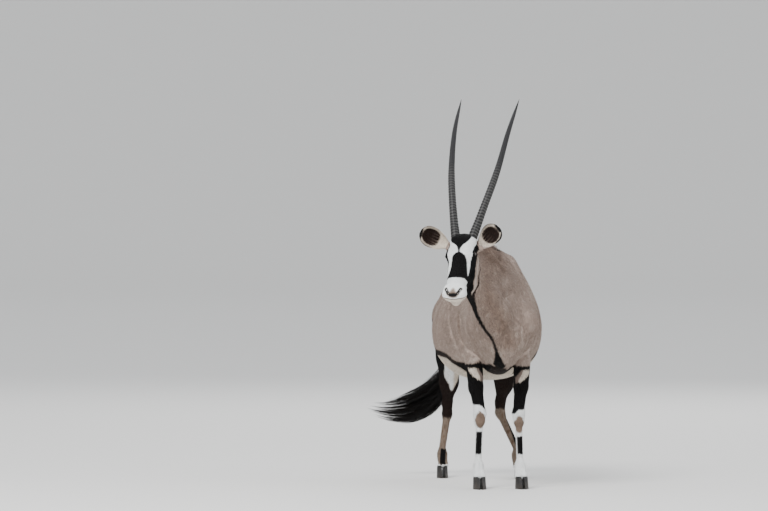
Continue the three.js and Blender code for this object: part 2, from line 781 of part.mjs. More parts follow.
function forelegBody(leg, level = 0) {
  const { side, elbow, forearm, knee, fetlock, crown } = leg;
  const line = [[side * 118, 80, 780], elbow, forearm, knee, [knee[0], knee[1] + 6, 240], fetlock];
  return limbBody([...line, add(crown, [0, -6, -20])], blend(forelegForms(leg), LIMB_BLEND), level);
}

function hindlegBody(leg, level = 0) {
  const { thigh, gaskin, hock, fetlock, crown } = leg;
  const line = [
    add(thigh, [0, -4, 180]),
    add(thigh, [0, 8, 0]),
    add(gaskin, [0, 10, 0]),
    add(hock, [0, 8, 6]),
    add(mixPoint(hock, fetlock, 0.5), [0, 4, 0]),
    fetlock,
    add(crown, [0, -6, -20]),
  ];
  return limbBody(line, blend(hindlegForms(leg), 26), level);
}

// Each leg leaves the torso at a plane: a level one at the elbow, a slanting one behind the flank
const elbowCut = { point: [0, 0, 650], way: [0, 0, 1] };
const flankCut = { point: [0, 740, 622], way: unit([0, -0.42, 0.86]) };

// What lies below the flank's plane, in the rear, drawn back by `gap`
function belowFlank(gap) {
  const rear = box([-600, 600, -100], [600, 1400, 1200]);
  return rear.subtract(beyondPlane(sub(flankCut.point, mul(flankCut.way, gap)), flankCut.way));
}

// Putting it together: limbs are cut out of the trunk that they are sunk in
const pieces = {};
let trunk = trunkBody();
for (const leg of Object.values(FORELEGS)) trunk = trunk.add(forelegBody(leg));
for (const leg of Object.values(HINDLEGS)) trunk = trunk.add(hindlegBody(leg));
const rear = trunk.intersect(belowFlank(GAP));
const aboveElbow = beyondPlane(elbowCut.point, elbowCut.way);
for (const [name, leg] of Object.entries(FORELEGS)) {
  const sunk = forelegBody(leg, GAP).subtract(beyondPlane(add(elbowCut.point, [0, 0, GAP]), elbowCut.way));
  trunk = trunk.subtract(sunk);
  addLeg("fore", name, leg, forelegBody(leg).subtract(aboveElbow), 1);
}
for (const [name, leg] of Object.entries(HINDLEGS)) {
  const [near, far] = leg.side > 0 ? [RUMP_SWING, 600] : [-600, RUMP_SWING];
  addLeg("hind", name, leg, rear.intersect(box([near, 500, -100], [far, 1400, 1200])), 0.86);
}
trunk = trunk.subtract(belowFlank(0));

function addLeg(kind, name, leg, body, size) {
  const belowCrown = beyondPlane([0, 0, leg.crown[2] + GAP], [0, 0, -1]);
  pieces[kind + "leg_" + name] = largest(body.subtract(belowCrown));
  pieces["hoof_" + kind + "_" + name + "_inner"] = claw(leg.crown, -leg.side, size);
  pieces["hoof_" + kind + "_" + name + "_outer"] = claw(leg.crown, leg.side, size);
}

pieces.torso = largest(trunk.subtract(beyondPlane(neckCut.point, neckCut.way)));
const dock = tailTube(0, TUFT_START - TUFT_GAP, (t) => mix(30, 14, smooth(clamp(t / 0.24, 0, 1))), 10, 9);
pieces.tail = largest(dock.subtract(trunkBody(GAP)));
pieces.tail_tuft = largest(
  wasm.Manifold.union([tuftCore(), ...tuftLocks()]).subtract(
    tailTube(TUFT_START - 0.06, TUFT_START, () => 40, 12, 2),
  ),
);
const behindNeck = beyondPlane(add(neckCut.point, mul(neckCut.way, GAP)), mul(neckCut.way, -1));
const beforeNeck = beyondPlane(sub(headCut.point, mul(headCut.way, GAP / 2)), headCut.way);
const neckAll = wasm.Manifold.union([neckBody(), ...maneLocks()]);
pieces.neck = largest(neckAll.subtract(behindNeck).subtract(beforeNeck));
pieces.head = headPiece(headBody());
const earCutter = headBody(GAP).add(neckBody(GAP));
const earWays = {
  left: { way: [0.68, 0.3, 0.7], opening: [-0.2, -0.98, 0], length: 164, root: headPoint(2, 79, -78) },
  right: { way: [-0.92, 0.12, 0.48], opening: [-0.05, -0.98, -0.1], length: 172, root: headPoint(-3, -74, -78) },
};
for (const [name, side] of [["left", 1], ["right", -1]]) {
  pieces["eye_" + name] = eyeBall(side);
  pieces["horn_" + name] = hornBody(side, hornStops().length, 0);
  const { root, way, opening, length } = earWays[name];
  pieces["ear_" + name] = largest(ear(root, way, opening, length).subtract(earCutter));
}

// Colours
const finishes = {
  coat: { color: 0x8d7866, roughness: 0.85, metalness: 0 },
  dark: { color: 0x1d1715, roughness: 0.8, metalness: 0 },
  face: { color: 0xd9dcdd, roughness: 0.8, metalness: 0 },
  horn: { color: 0x3b3a3c, roughness: 0.45, metalness: 0 },
  hoof: { color: 0x2a2624, roughness: 0.4, metalness: 0 },
  eye: { color: 0x120c08, roughness: 0.08, metalness: 0 },
};
function finishOf(name) {
  if (name.startsWith("horn")) return finishes.horn;
  if (name.startsWith("hoof")) return finishes.hoof;
  if (name.startsWith("eye")) return finishes.eye;
  if (name.startsWith("tail") || name.includes("leg")) return finishes.dark;
  return name === "head" ? finishes.face : finishes.coat;
}

// A solid back as a three.js geometry
function geometryOf(solid) {
  const { numProp, vertProperties, triVerts } = solid.getMesh();
  const positions = [];
  for (let i = 0; i < vertProperties.length; i += numProp) positions.push(...vertProperties.subarray(i, i + 3));
  const geometry = new THREE.BufferGeometry();
  geometry.setAttribute("position", new THREE.Float32BufferAttribute(positions, 3));
  geometry.setIndex(Array.from(triVerts));
  return geometry;
}

const gemsbok = new THREE.Group();
gemsbok.name = "gemsbok";
for (const [name, solid] of Object.entries(pieces)) {
  const mesh = new THREE.Mesh(geometryOf(solid), new THREE.MeshStandardMaterial(finishOf(name)));
  mesh.name = name;
  gemsbok.add(mesh);
}
const extent = new THREE.Box3().setFromObject(gemsbok);
const middle = extent.getCenter(new THREE.Vector3());
gemsbok.position.set(-middle.x, -middle.y, -extent.min.z);

export default gemsbok;
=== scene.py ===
"""Dresses a standing gemsbok, life size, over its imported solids.

The same bones and muscles that shape the solids are worked out here as one field of distances. A net is
laid over it for a single skin, which is refined on the head and feet. Tufts, locks, horns, hooves and eyes
are grown from named sizes. Lengths are in millimetres until a mesh is made, and the point midway between
the fore hooves is the origin until then.
"""

import json
import logging
import math
from dataclasses import dataclass, field
from enum import Enum

import bpy
import numpy as np
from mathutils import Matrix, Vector

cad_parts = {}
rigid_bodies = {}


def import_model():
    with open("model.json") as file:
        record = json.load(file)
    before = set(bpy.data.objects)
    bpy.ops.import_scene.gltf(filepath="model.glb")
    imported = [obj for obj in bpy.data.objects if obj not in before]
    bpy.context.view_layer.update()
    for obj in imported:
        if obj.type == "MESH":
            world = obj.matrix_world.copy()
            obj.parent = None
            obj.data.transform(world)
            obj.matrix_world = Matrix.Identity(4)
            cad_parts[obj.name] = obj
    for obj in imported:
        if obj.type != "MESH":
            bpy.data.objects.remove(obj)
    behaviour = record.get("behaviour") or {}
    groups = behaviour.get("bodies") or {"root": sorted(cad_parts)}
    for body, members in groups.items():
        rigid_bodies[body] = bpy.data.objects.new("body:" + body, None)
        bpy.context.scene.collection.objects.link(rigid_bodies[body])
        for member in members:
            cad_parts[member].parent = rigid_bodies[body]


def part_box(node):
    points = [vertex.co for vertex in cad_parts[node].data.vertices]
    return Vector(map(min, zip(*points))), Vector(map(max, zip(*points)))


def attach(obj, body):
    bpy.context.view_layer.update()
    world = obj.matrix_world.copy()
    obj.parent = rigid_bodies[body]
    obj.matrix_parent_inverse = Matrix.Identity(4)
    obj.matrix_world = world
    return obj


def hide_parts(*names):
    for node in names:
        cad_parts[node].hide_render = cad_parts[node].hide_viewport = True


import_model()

Array = np.ndarray
Point = tuple[float, float, float]

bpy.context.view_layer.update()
ROOT = "root"
COLOUR = "Coat"
BAKE_MAP = "OFBake"
PATCH = 0.0015  # half the width of a tuft's patch on the bake map
FAR = 1.0e3  # a distance that stands for out of reach
ROD_MARGIN = 75  # how far outside its box a rod of the body is still worked out
LEFT, RIGHT = 1, -1
SIDES = (LEFT, RIGHT)
CUBE = [np.array([corner & 1, corner >> 1 & 1, corner >> 2 & 1]) for corner in range(8)]
log = logging.getLogger("gemsbok")


def vector(*values: float) -> Array:
    """The values as an array of numbers."""
    return np.array(values, float)


def unit(values: Array) -> Array:
    """Arrows scaled to length 1, along the last axis."""
    return values / np.maximum(np.linalg.norm(values, axis=-1, keepdims=True), 1e-12)


def smooth(share: Array) -> Array:
    """An ease from 0 to 1: three times the square less twice the cube."""
    held = np.clip(share, 0.0, 1.0)
    return held * held * (3 - 2 * held)


def ramp(value: Array, low: float, high: float) -> Array:
    """How far a value has risen from low to high, eased, from 0 to 1."""
    return smooth((value - low) / (high - low))


def mix(first: Array, second: Array, share: Array) -> Array:
    """The value that lies the given share of the way from the first to the second."""
    return first + (second - first) * share


def across_to(ways: Array, normals: Array) -> Array:
    """Ways laid flat in the surface: less their part along the normals, at length 1."""
    flat = ways - np.sum(ways * normals, axis=-1, keepdims=True) * normals
    return unit(flat)


def through(rows: list[tuple[float, ...]], at: Array) -> Array:
    """Values of a smooth curve through rows of (place, value, value, ...).

    Between two rows the values are mixed by the eased share f, and the span times f(1-f) times the slopes,
    weighed by 1-f and f, bends them so that the curve has no corner at a row.

    Args:
        rows: the rows, in rising order of place.
        at: the places that are asked for.

    Returns:
        One column for each value of a row.
    """
    table = np.array(rows, float)
    places, values = table[:, 0], table[:, 1:]
    count = len(places)
    low, high = np.maximum(np.arange(count) - 1, 0), np.minimum(np.arange(count) + 1, count - 1)
    slopes = (values[high] - values[low]) / (places[high] - places[low])[:, None]
    held = np.clip(at, places[0], places[-1])
    i = np.clip(np.searchsorted(places, held, side="left") - 1, 0, count - 2)
    span = (places[i + 1] - places[i])[:, None]
    share = ((held - places[i]) / (places[i + 1] - places[i]))[:, None]
    bend = span * share * (1 - share) * ((1 - share) * slopes[i] - share * slopes[i + 1])
    return mix(values[i], values[i + 1], smooth(share)) + bend


def speckle(points: Array, cell: float, seed: int = 0) -> Array:
    """A smooth random value from -1 to 1 at each point.

    Each corner of a lattice of the cell's size has a value scrambled from its place, and the eight round a
    point are mixed by eased shares.

    Args:
        points: places in millimetres.
        cell: the size of a blotch.
        seed: another seed gives another pattern.

    Returns:
        One value for each point.
    """
    placed = points / cell
    base = np.floor(placed).astype(np.int64)
    share = smooth(placed - base)
    total = np.zeros(len(points))
    for step in CUBE:
        at = base + step
        mash = (at[:, 0] * 73856093) ^ (at[:, 1] * 19349663) ^ (at[:, 2] * 83492791) ^ (seed * 40503)
        mash = ((mash ^ (mash >> 13)) * 1274126177) & 0x7FFFFFFF
        value = ((mash ^ (mash >> 15)) & 0xFFFF) / 32767.5 - 1
        total += value * np.prod(np.where(step, share, 1 - share), axis=1)
    return total


def linear(colour: Array) -> Array:
    """Screen colours from 0 to 1 as amounts of light."""
    colour = np.asarray(colour, float)
    return np.where(colour <= 0.04045, colour / 12.92, ((colour + 0.055) / 1.055) ** 2.4)


def corners_of(points: Array, faces: Array) -> tuple[Array, Array, Array]:
    """The first, second and third corner of each face."""
    return points[faces[:, 0]], points[faces[:, 1]], points[faces[:, 2]]


class Line:
    """A smooth line through points, asked by its share of length."""

    STEPS = 60

    def __init__(self, points: list[Point] | Array) -> None:
        """Samples the line finely.

        Each stretch is a cubic whose end slopes come from the three spans round it, each span weighed by
        the square root of its length.

        Args:
            points: the points that the line passes through.
        """
        given = np.array(points, float)
        given = np.vstack([2 * given[0] - given[1], given, 2 * given[-1] - given[-2]])
        share = np.linspace(0, 1, self.STEPS, endpoint=False)[:, None]
        runs = []
        for a, b, c, d in zip(given, given[1:], given[2:], given[3:]):
            ab, bc, cd = (max(np.linalg.norm(q - p) ** 0.5, 1e-4) for p, q in ((a, b), (b, c), (c, d)))
            start = ((b - a) / ab - (c - a) / (ab + bc) + (c - b) / bc) * bc
            end = ((c - b) / bc - (d - b) / (bc + cd) + (d - c) / cd) * bc
            runs.append(
                b + start * share + (3 * (c - b) - 2 * start - end) * share**2
                + (2 * (b - c) + start + end) * share**3
            )
        self.points = np.vstack([*runs, given[-2:-1]])
        steps = np.linalg.norm(np.diff(self.points, axis=0), axis=1)
        self.lengths = np.concatenate([[0], np.cumsum(steps)])
        self.length = self.lengths[-1]

    def at(self, share: Array) -> Array:
        """Points at shares of the line's length."""
        place = np.asarray(share, float) * self.length
        return np.stack([np.interp(place, self.lengths, self.points[:, k]) for k in range(3)], -1)

    def way(self, share: Array) -> Array:
        """The line's direction at shares of its length."""
        step = 0.004
        share = np.asarray(share, float)
        return unit(self.at(np.minimum(share + step, 1)) - self.at(np.maximum(share - step, 0)))


@dataclass(frozen=True)
class Rod:
    """A tapered rod with round ends, flattened across."""

    start: Array
    end: Array
    radius: float
    end_radius: float
    flat: float = 1.0
    across: Point = (1.0, 0.0, 0.0)

    def near(self, points: Array, margin: float) -> Array:
        """Indices of the points within a margin of the rod's box."""
        reach = max(self.radius, self.end_radius) + margin
        low = np.minimum(self.start, self.end) - reach
        high = np.maximum(self.start, self.end) + reach
        return np.nonzero(np.all((points > low) & (points < high), axis=1))[0]

    def distance(self, points: Array) -> Array:
        """How far points lie outside the rod, negative inside.

        It is their distance from the rod's nearest point, less its radius there.

        Args:
            points: places in millimetres.

        Returns:
            Distances.
        """
        span = self.end - self.start
        off = points - self.start
        share = np.clip(off @ span / max(span @ span, 1e-9), 0, 1)
        off = off - share[:, None] * span
        if self.flat != 1:
            across = np.asarray(self.across, float)
            off = off + ((self.flat - 1) * (off @ across))[:, None] * across
        return np.sqrt(np.einsum("ij,ij->i", off, off)) - mix(self.radius, self.end_radius, share)


def merge(first: Array, second: Array, width: float) -> Array:
    """Two distances blended: the smaller, less a hump where they differ by under the width."""
    overlap = np.maximum(width - np.abs(first - second), 0)
    return np.minimum(first, second) - overlap**2 / (4 * width)


def rods_merged(distances: Array, points: Array, rods: list[Rod], width: float) -> Array:
    """Distances with rods blended in one by one, each only near its own box.

    Args:
        distances: what is there already.
        points: the places that they belong to.
        rods: the rods to add.
        width: how widely they blend.

    Returns:
        The new distances.
    """
    result = distances.copy()
    for rod in rods:
        close = rod.near(points, ROD_MARGIN)
        if len(close):
            result[close] = merge(result[close], rod.distance(points[close]), width)
    return result


@dataclass
class HeadFrame:
    """The head's own frame: s runs down the face, l to the animal's left and n out of the face."""

    poll: Point = (-257.0, -402.0, 1285.0)
    yaw: float = 22.0
    pitch: float = 39.0
    length: float = 0.93
    width: float = 0.96
    eye: Point = (76.0, 61.0, -46.0)
    eye_radius: float = 19.0

    def __post_init__(self) -> None:
        """Works out the frame's three ways."""
        turn, lean = math.radians(self.yaw), math.radians(self.pitch)
        self.facing = vector(-math.sin(turn), -math.cos(turn), 0)
        self.down = self.facing * math.sin(lean) + vector(0, 0, -math.cos(lean))
        self.out = self.facing * math.cos(lean) + vector(0, 0, math.sin(lean))
        self.left = vector(-self.facing[1], self.facing[0], 0)
        self.origin = np.array(self.poll)

    def point(self, s: float, l: float, n: float) -> Array:
        """A place on the head."""
        return self.origin + self.down * s * self.length + self.left * l * self.width + self.out * n

    def way(self, s: float, l: float, n: float) -> Array:
        """A direction in the head's frame, at length 1."""
        return unit(self.down * s + self.left * l + self.out * n)

    def local(self, points: Array) -> tuple[Array, Array, Array]:
        """Places as s, l and n."""
        off = points - self.origin
        return off @ self.down / self.length, off @ self.left / self.width, off @ self.out

    def eye_at(self, side: int) -> Array:
        """The middle of an eye."""
        return self.point(self.eye[0], side * self.eye[1], self.eye[2])

    def eye_ways(self, side: int) -> tuple[Array, Array, Array]:
        """An eye's long way, its short way and the way that it looks."""
        out = self.way(-0.06, side * 0.86, 0.44)
        long = self.way(0.9, 0, -0.35)
        long = unit(long - out * (long @ out))
        return long, np.cross(out, long), out

    def about_eye(self, points: Array, side: int) -> list[Array]:
        """Places along an eye's long way, its short way and the way that it looks."""
        off = points - self.eye_at(side)
        return [off @ way for way in self.eye_ways(side)]

    def past_neck(self, points: Array) -> Array:
        """How far points lie past the plane where the neck ends and the head starts."""
        return (points - self.point(0, 0, -112)) @ self.way(0.578, 0, 0.816)


HEAD = HeadFrame()


@dataclass(frozen=True)
class Foreleg:
    """Joints of a foreleg, from the elbow down."""

    side: int
    kind: str = "fore"
    blend: float = 18.0  # how widely its rods run into one another
    foot_size: float = 1.0
    hoof_size: float = 1.0

    def joint(self, x: float, y: float, z: float) -> Array:
        """A place on this side's leg."""
        return vector(self.side * x, y, z)

    def ankle(self) -> Array:
        """The middle of the fetlock."""
        return self.joint(108, 4, 120)

    def top_of_hoof(self) -> Array:
        """The middle of the foot's crown."""
        return self.joint(109, -32, 60)

    def line(self) -> Array:
        """The leg's middle line, downwards."""
        rows = [(118, 80, 780), (128, 66, 708), (117, 30, 520), (101, 6, 362), (104, 12, 240), (108, 4, 120),
                (109, -32, 60), (109, -40, 20)]
        return np.array([self.joint(*row) for row in rows])

    def shoulder(self) -> list[Rod]:
        """Shoulder and upper arm, which lie in the trunk."""
        at = self.joint
        return [
            Rod(at(62, 120, 1130), at(122, -85, 850), 62, 80, 1.25),
            Rod(at(118, -80, 840), at(124, 70, 735), 74, 60, 1.15),
            Rod(at(112, 130, 930), at(126, 78, 722), 84, 54, 1.25),
        ]

    def shank(self, z: float, y: float = 0.0) -> Array:
        """A place on the line from the knee to the fetlock, at a height."""
        return self.joint(mix(101, 108, (362 - z) / 240), 6 + y, z)

    def rods(self) -> list[Rod]:
        """The leg's bones and muscles down to the hoof."""
        at, shank = self.joint, self.shank
        elbow, forearm = at(128, 66, 708), at(117, 30, 520)
        return [
            Rod(at(122, 92, 850), elbow, 76, 56, 1.25),
            Rod(elbow, forearm, 60, 41, 1.2),
            Rod(at(123, 20, 640), forearm, 46, 38, 1.15),
            Rod(forearm, shank(392), 38, 32, 1.1),
            Rod(shank(382, -3), shank(346, -3), 34, 30),
            Rod(shank(372, 24), shank(352, 26), 15, 12),
            Rod(shank(336), shank(150), 20, 17.5),
            Rod(shank(336, 19), shank(150, 17), 11, 10),
            *foot(self.ankle(), self.foot_size),
        ]


@dataclass(frozen=True)
class Hindleg:
    """Joints of a hind leg, from the hip down."""

    side: int
    hip: Point
    stifle: Point
    thigh: Point
    gaskin: Point
    hock: Point
    fetlock: Point
    crown: Point
    kind: str = "hind"
    blend: float = 26.0
    foot_size: float = 0.84
    hoof_size: float = 0.86

    def ankle(self) -> Array:
        """The middle of the fetlock."""
        return np.array(self.fetlock)

    def top_of_hoof(self) -> Array:
        """The middle of the foot's crown."""
        return np.array(self.crown, float)

    def line(self) -> Array:
        """The leg's middle line, downwards."""
        thigh, hock, crown = np.array(self.thigh), np.array(self.hock), np.array(self.crown)
        gaskin, fetlock = np.array(self.gaskin), np.array(self.fetlock)
        return np.array([
            thigh + (0, -4, 180), thigh + (0, 8, 0), gaskin + (0, 10, 0), hock + (0, 8, 6),
            (hock + fetlock) / 2 + (0, 4, 0), fetlock, crown, crown + (0, -8, -42),
        ])

    def haunch(self) -> list[Rod]:
        """Hip, thigh and buttock, which lie in the trunk."""
        hip, thigh = np.array(self.hip), np.array(self.thigh)
        return [
            Rod(hip, np.array(self.stifle), 92, 70, 1.15),
            Rod(hip + (0, 60, -20), thigh + (0, 62, 110), 84, 78, 1.15),
            Rod(thigh + (0, -6, 190), thigh, 124, 92, 1.32),
        ]

    def rods(self) -> list[Rod]:
        """The leg's bones and muscles down to the hoof."""
        thigh, gaskin = np.array(self.thigh), np.array(self.gaskin)
        hock, fetlock = np.array(self.hock), np.array(self.fetlock)
        point, shank, ankle = hock + (0, 40, 38), hock + (0, 0, -42), fetlock + (0, 0, 28)
        return [
            *self.haunch(),
            Rod(thigh, gaskin, 92, 60, 1.3),
            Rod(gaskin, hock + (0, -4, 16), 60, 26, 1.2),
            Rod(thigh + (0, 62, 30), gaskin + (0, 40, 0), 60, 30, 1.15),
            Rod(gaskin + (0, 40, 0), point, 28, 14),
            Rod(point, hock + (0, 18, -30), 15, 18),
            Rod(hock + (0, 0, 20), shank, 27, 23),
            Rod(shank, ankle, 20, 17),
            Rod(shank + (0, 19, 0), ankle + (0, 16, 0), 11, 9),
            *foot(fetlock, self.foot_size),
        ]


def foot(fetlock: Array, size: float) -> list[Rod]:
    """Fetlock, dewclaws and the two short pasterns above a cloven hoof.

    Args:
        fetlock: the joint's middle.
        size: 1 for a fore foot, less for a hind one.

    Returns:
        Its rods.
    """
    def at(x: float, y: float, z: float) -> Array:
        """A place about the fetlock."""
        return fetlock + (x * size, y, z)

    rods = [
        Rod(at(0, 0, 4), at(0, 2, -6), 25 * size, 24 * size),
        Rod(at(0, 16, -4), at(0, 17, -14), 15 * size, 13 * size),
    ]
    for half in SIDES:
        rods.append(Rod(at(half * 8, 0, -6), at(half * 16, -34, -58), 18 * size, 18.5 * size))
        rods.append(Rod(at(half * 14, 22, -26), at(half * 16, 32, -36), 9, 6.5))
    return rods


FORELEGS = {side: Foreleg(side) for side in SIDES}
HINDLEGS = {
    LEFT: Hindleg(
        LEFT, (96, 900, 940), (166, 788, 745), (146, 900, 655), (181, 955, 505), (167, 1000, 380),
        (243, 915, 124), (253, 880, 62),
    ),
    RIGHT: Hindleg(
        RIGHT, (-86, 910, 940), (-150, 805, 740), (-117, 918, 655), (-110, 985, 505), (-110, 1042, 374),
        (-141, 1012, 124), (-147, 978, 62),
    ),
}
LEGS = [*FORELEGS.values(), *HINDLEGS.values()]


@dataclass
class Anatomy:
    """The whole animal as a field of distances, negative inside."""

    withers: float = 1222.0
    rump_swing: float = 15.0
    front: float = -178.0
    back: float = 1062.0
    widest: float = 0.42
    body_blend: float = 28.0
    head_blend: float = 20.0
    head_join: float = 34.0
    limb_join: float = 9.0
    body_coat: float = 5.5
    limb_coat: float = 2.4
    face_coat: float = 1.5

    def __post_init__(self) -> None:
        """Lists the rods and the lines that other pieces follow."""
        self.barrel_rows = [
            (-178, 830, 740, 40), (-150, 945, 650, 105), (-60, 1110, 604, 165), (30, 1196, 582, 196),
            (110, self.withers - 4, 574, 222), (250, 1194, 556, 264), (400, 1150, 540, 284),
            (550, 1124, 552, 276), (700, 1106, 612, 256), (820, 1098, 690, 212), (920, 1086, 760, 174),
            (1000, 1042, 820, 138), (1062, 955, 870, 60),
        ]
        self.nape = HEAD.point(8, 0, -92)
        self.throat = HEAD.point(126, 0, -166)
        self.tail = Line([
            (15, 1020, 1004), (12, 1080, 962), (2, 1116, 870), (-16, 1136, 740), (-46, 1142, 612),
            (-98, 1140, 502), (-174, 1132, 422), (-264, 1123, 371), (-360, 1113, 350), (-450, 1104, 354),
            (-540, 1096, 374),
        ])
        self.crest = Line([
            self.nape, (-160, -235, 1206), (-98, -130, 1192), (-44, -10, 1180), (-10, 84, 1164),
        ])
        self.trunk_rods = [rod for leg in FORELEGS.values() for rod in leg.shoulder()]
        self.trunk_rods += [rod for leg in HINDLEGS.values() for rod in leg.haunch()]
        swing = self.rump_swing
        self.trunk_rods.append(Rod(vector(swing, 950, 1030), vector(swing, 1045, 978), 42, 30))
        self.trunk_rods += self.neck_rods()
        self.face_rods = self.head_rods()

    def neck_rods(self) -> list[Rod]:
        """The neck between crest and throat."""
        lower, middle = vector(-112, -170, 1104), vector(-98, -130, 1192)
        throat_low, chest = vector(-112, -212, 988), vector(-62, -140, 880)
        return [
            Rod(self.nape, middle, 44, 50),
            Rod(middle, vector(-6, 110, 1150), 50, 66),
            Rod(HEAD.point(70, 0, -130), lower, 70, 94),
            Rod(lower, vector(-12, 10, 1010), 94, 148, 1.08),
            Rod(self.throat, throat_low, 56, 80),
            Rod(throat_low, chest, 80, 104),
            Rod(chest, vector(-20, -88, 790), 104, 104),
        ]

    def head_rods(self) -> list[Rod]:
        """Skull, jaws, muzzle, lips and the roots of horns and ears."""
        across = tuple(HEAD.left)

        def rod(a: Point, b: Point, radius: float, end_radius: float) -> Rod:
            """A rod between two places on the head."""
            return Rod(HEAD.point(*a), HEAD.point(*b), radius, end_radius, 1.0, across)

        rods = [rod((-12, 0, -66), (70, 0, -62), 56, 60)]
        s, _, _ = HEAD.eye
        for side in (RIGHT, LEFT):
            rods += [
                rod((8, side * 26, -36), (88, side * 34, -40), 34, 36),
                rod((s, side * 57, -50), (s + 4, side * 58, -52), 25, 24),
                rod((108, side * 30, -72), (300, side * 20, -56), 38, 27),
                rod((66, side * 40, -98), (136, side * 37, -124), 32, 30),
                rod((92, side * 34, -142), (205, side * 25, -114), 31, 23),
                rod((205, side * 25, -114), (335, side * 12, -92), 23, 19),
                rod((316, side * 27, -46), (340, side * 29, -48), 32, 34),
                rod((330, side * 30, -64), (350, side * 20, -68), 25, 20),
                rod((-10, side * 38, -44), (-26, side * 40, -47), 30, 27),
                rod((6, side * 56, -80), (2, side * 84, -82), 22, 17),
            ]
        rods += [
            rod((90, 0, -44), (300, 0, -40), 42, 30),
            rod((300, 0, -40), (358, 0, -42), 30, 24),
            rod((330, 0, -92), (350, 0, -103), 22, 21),
        ]
        return rods

    def dock(self, thick: float, thin: float) -> tuple[Array, Array]:
        """Places along the tail's dock, and radii that shrink from thick to thin."""
        shares = np.linspace(0, 0.33, 12)
        return self.tail.at(shares), mix(thick, thin, smooth(shares / 0.26))

    def dock_rods(self) -> list[Rod]:
        """The tail's dock, in short tapering rods along its line."""
        places, radii = self.dock(29.0, 12.0)
        radii = radii - 1.5
        pairs = zip(places, places[1:], radii, radii[1:])
        return [Rod(a, b, ra, rb) for a, b, ra, rb in pairs]

    def swing_at(self, y: Array) -> Array:
        """How far the spine swings to the left, along the body."""
        return self.rump_swing * smooth((y - 250) / 550)

    def barrel(self, points: Array) -> Array:
        """The barrel: egg-shaped across, with the backline, bellyline and half width of its rows.

        The distance across is the point's distance from the middle, less that distance divided by q, where
        q is the sum of the two shares of the half axes, each to a power, to the inverse power.

        Args:
            points: places in millimetres.

        Returns:
            Distances, negative inside.
        """
        x, y, z = points.T
        top, bottom, half = through(self.barrel_rows, y).T
        centre = bottom + self.widest * (top - bottom)
        rise = z - centre
        upper = rise > 0
        reach = np.where(upper, top - centre, centre - bottom)
        power = np.where(upper, 1.64, mix(1.5, 2.25, smooth((y + 20) / 270)))
        side = x - self.swing_at(y)
        q = (np.abs(side / half) ** power + np.abs(rise / reach) ** power) ** (1 / power)
        out = np.hypot(side, rise)
        radial = np.where(out < 1, -half, out - out / np.maximum(q, 1e-6))
        beyond = y - np.clip(y, self.front, self.back)
        return np.where(beyond == 0, radial, np.hypot(np.maximum(radial, 0), beyond))

    def depth(self, points: Array) -> Array:
        """How deep the skin lies under the tips of the coat."""
        coat = mix(self.body_coat, self.face_coat, ramp(HEAD.past_neck(points), -60, 40))
        low = ramp(points[:, 2], 700, 560)
        return mix(coat, self.limb_coat, low)

    def distance(self, points: Array) -> Array:
        """Distance outside the flesh, without the coat's depth."""
        trunk = rods_merged(self.barrel(points), points, self.trunk_rods, self.body_blend)
        face = rods_merged(np.full(len(points), FAR), points, self.face_rods, self.head_blend)
        whole = merge(trunk, face, self.head_join)
        for leg in LEGS:
            limb = rods_merged(np.full(len(points), FAR), points, leg.rods(), leg.blend)
            whole = merge(whole, limb, self.limb_join)
        return rods_merged(whole, points, self.dock_rods(), 14.0)

    def skin(self, points: Array) -> Array:
        """Distance outside the skin."""
        return self.distance(points) + self.depth(points)

    def settle(self, points: Array, times: int = 1, stride: float = 5.5) -> Array:
        """Moves points onto the skin, down the field's slope, which comes from three short steps.

        Args:
            points: places near the skin.
            times: how often.
            stride: the longest move at a time.

        Returns:
            Their new places.
        """
        step = 0.6
        for _ in range(times):
            values = self.skin(points)
            parts = [self.skin(points + step * np.eye(3)[k]) - values for k in range(3)]
            slope = np.stack(parts, -1) / step
            square = np.maximum(np.sum(slope**2, 1), 0.3)
            points = points - np.clip(values / square, -stride, stride)[:, None] * slope
        return points


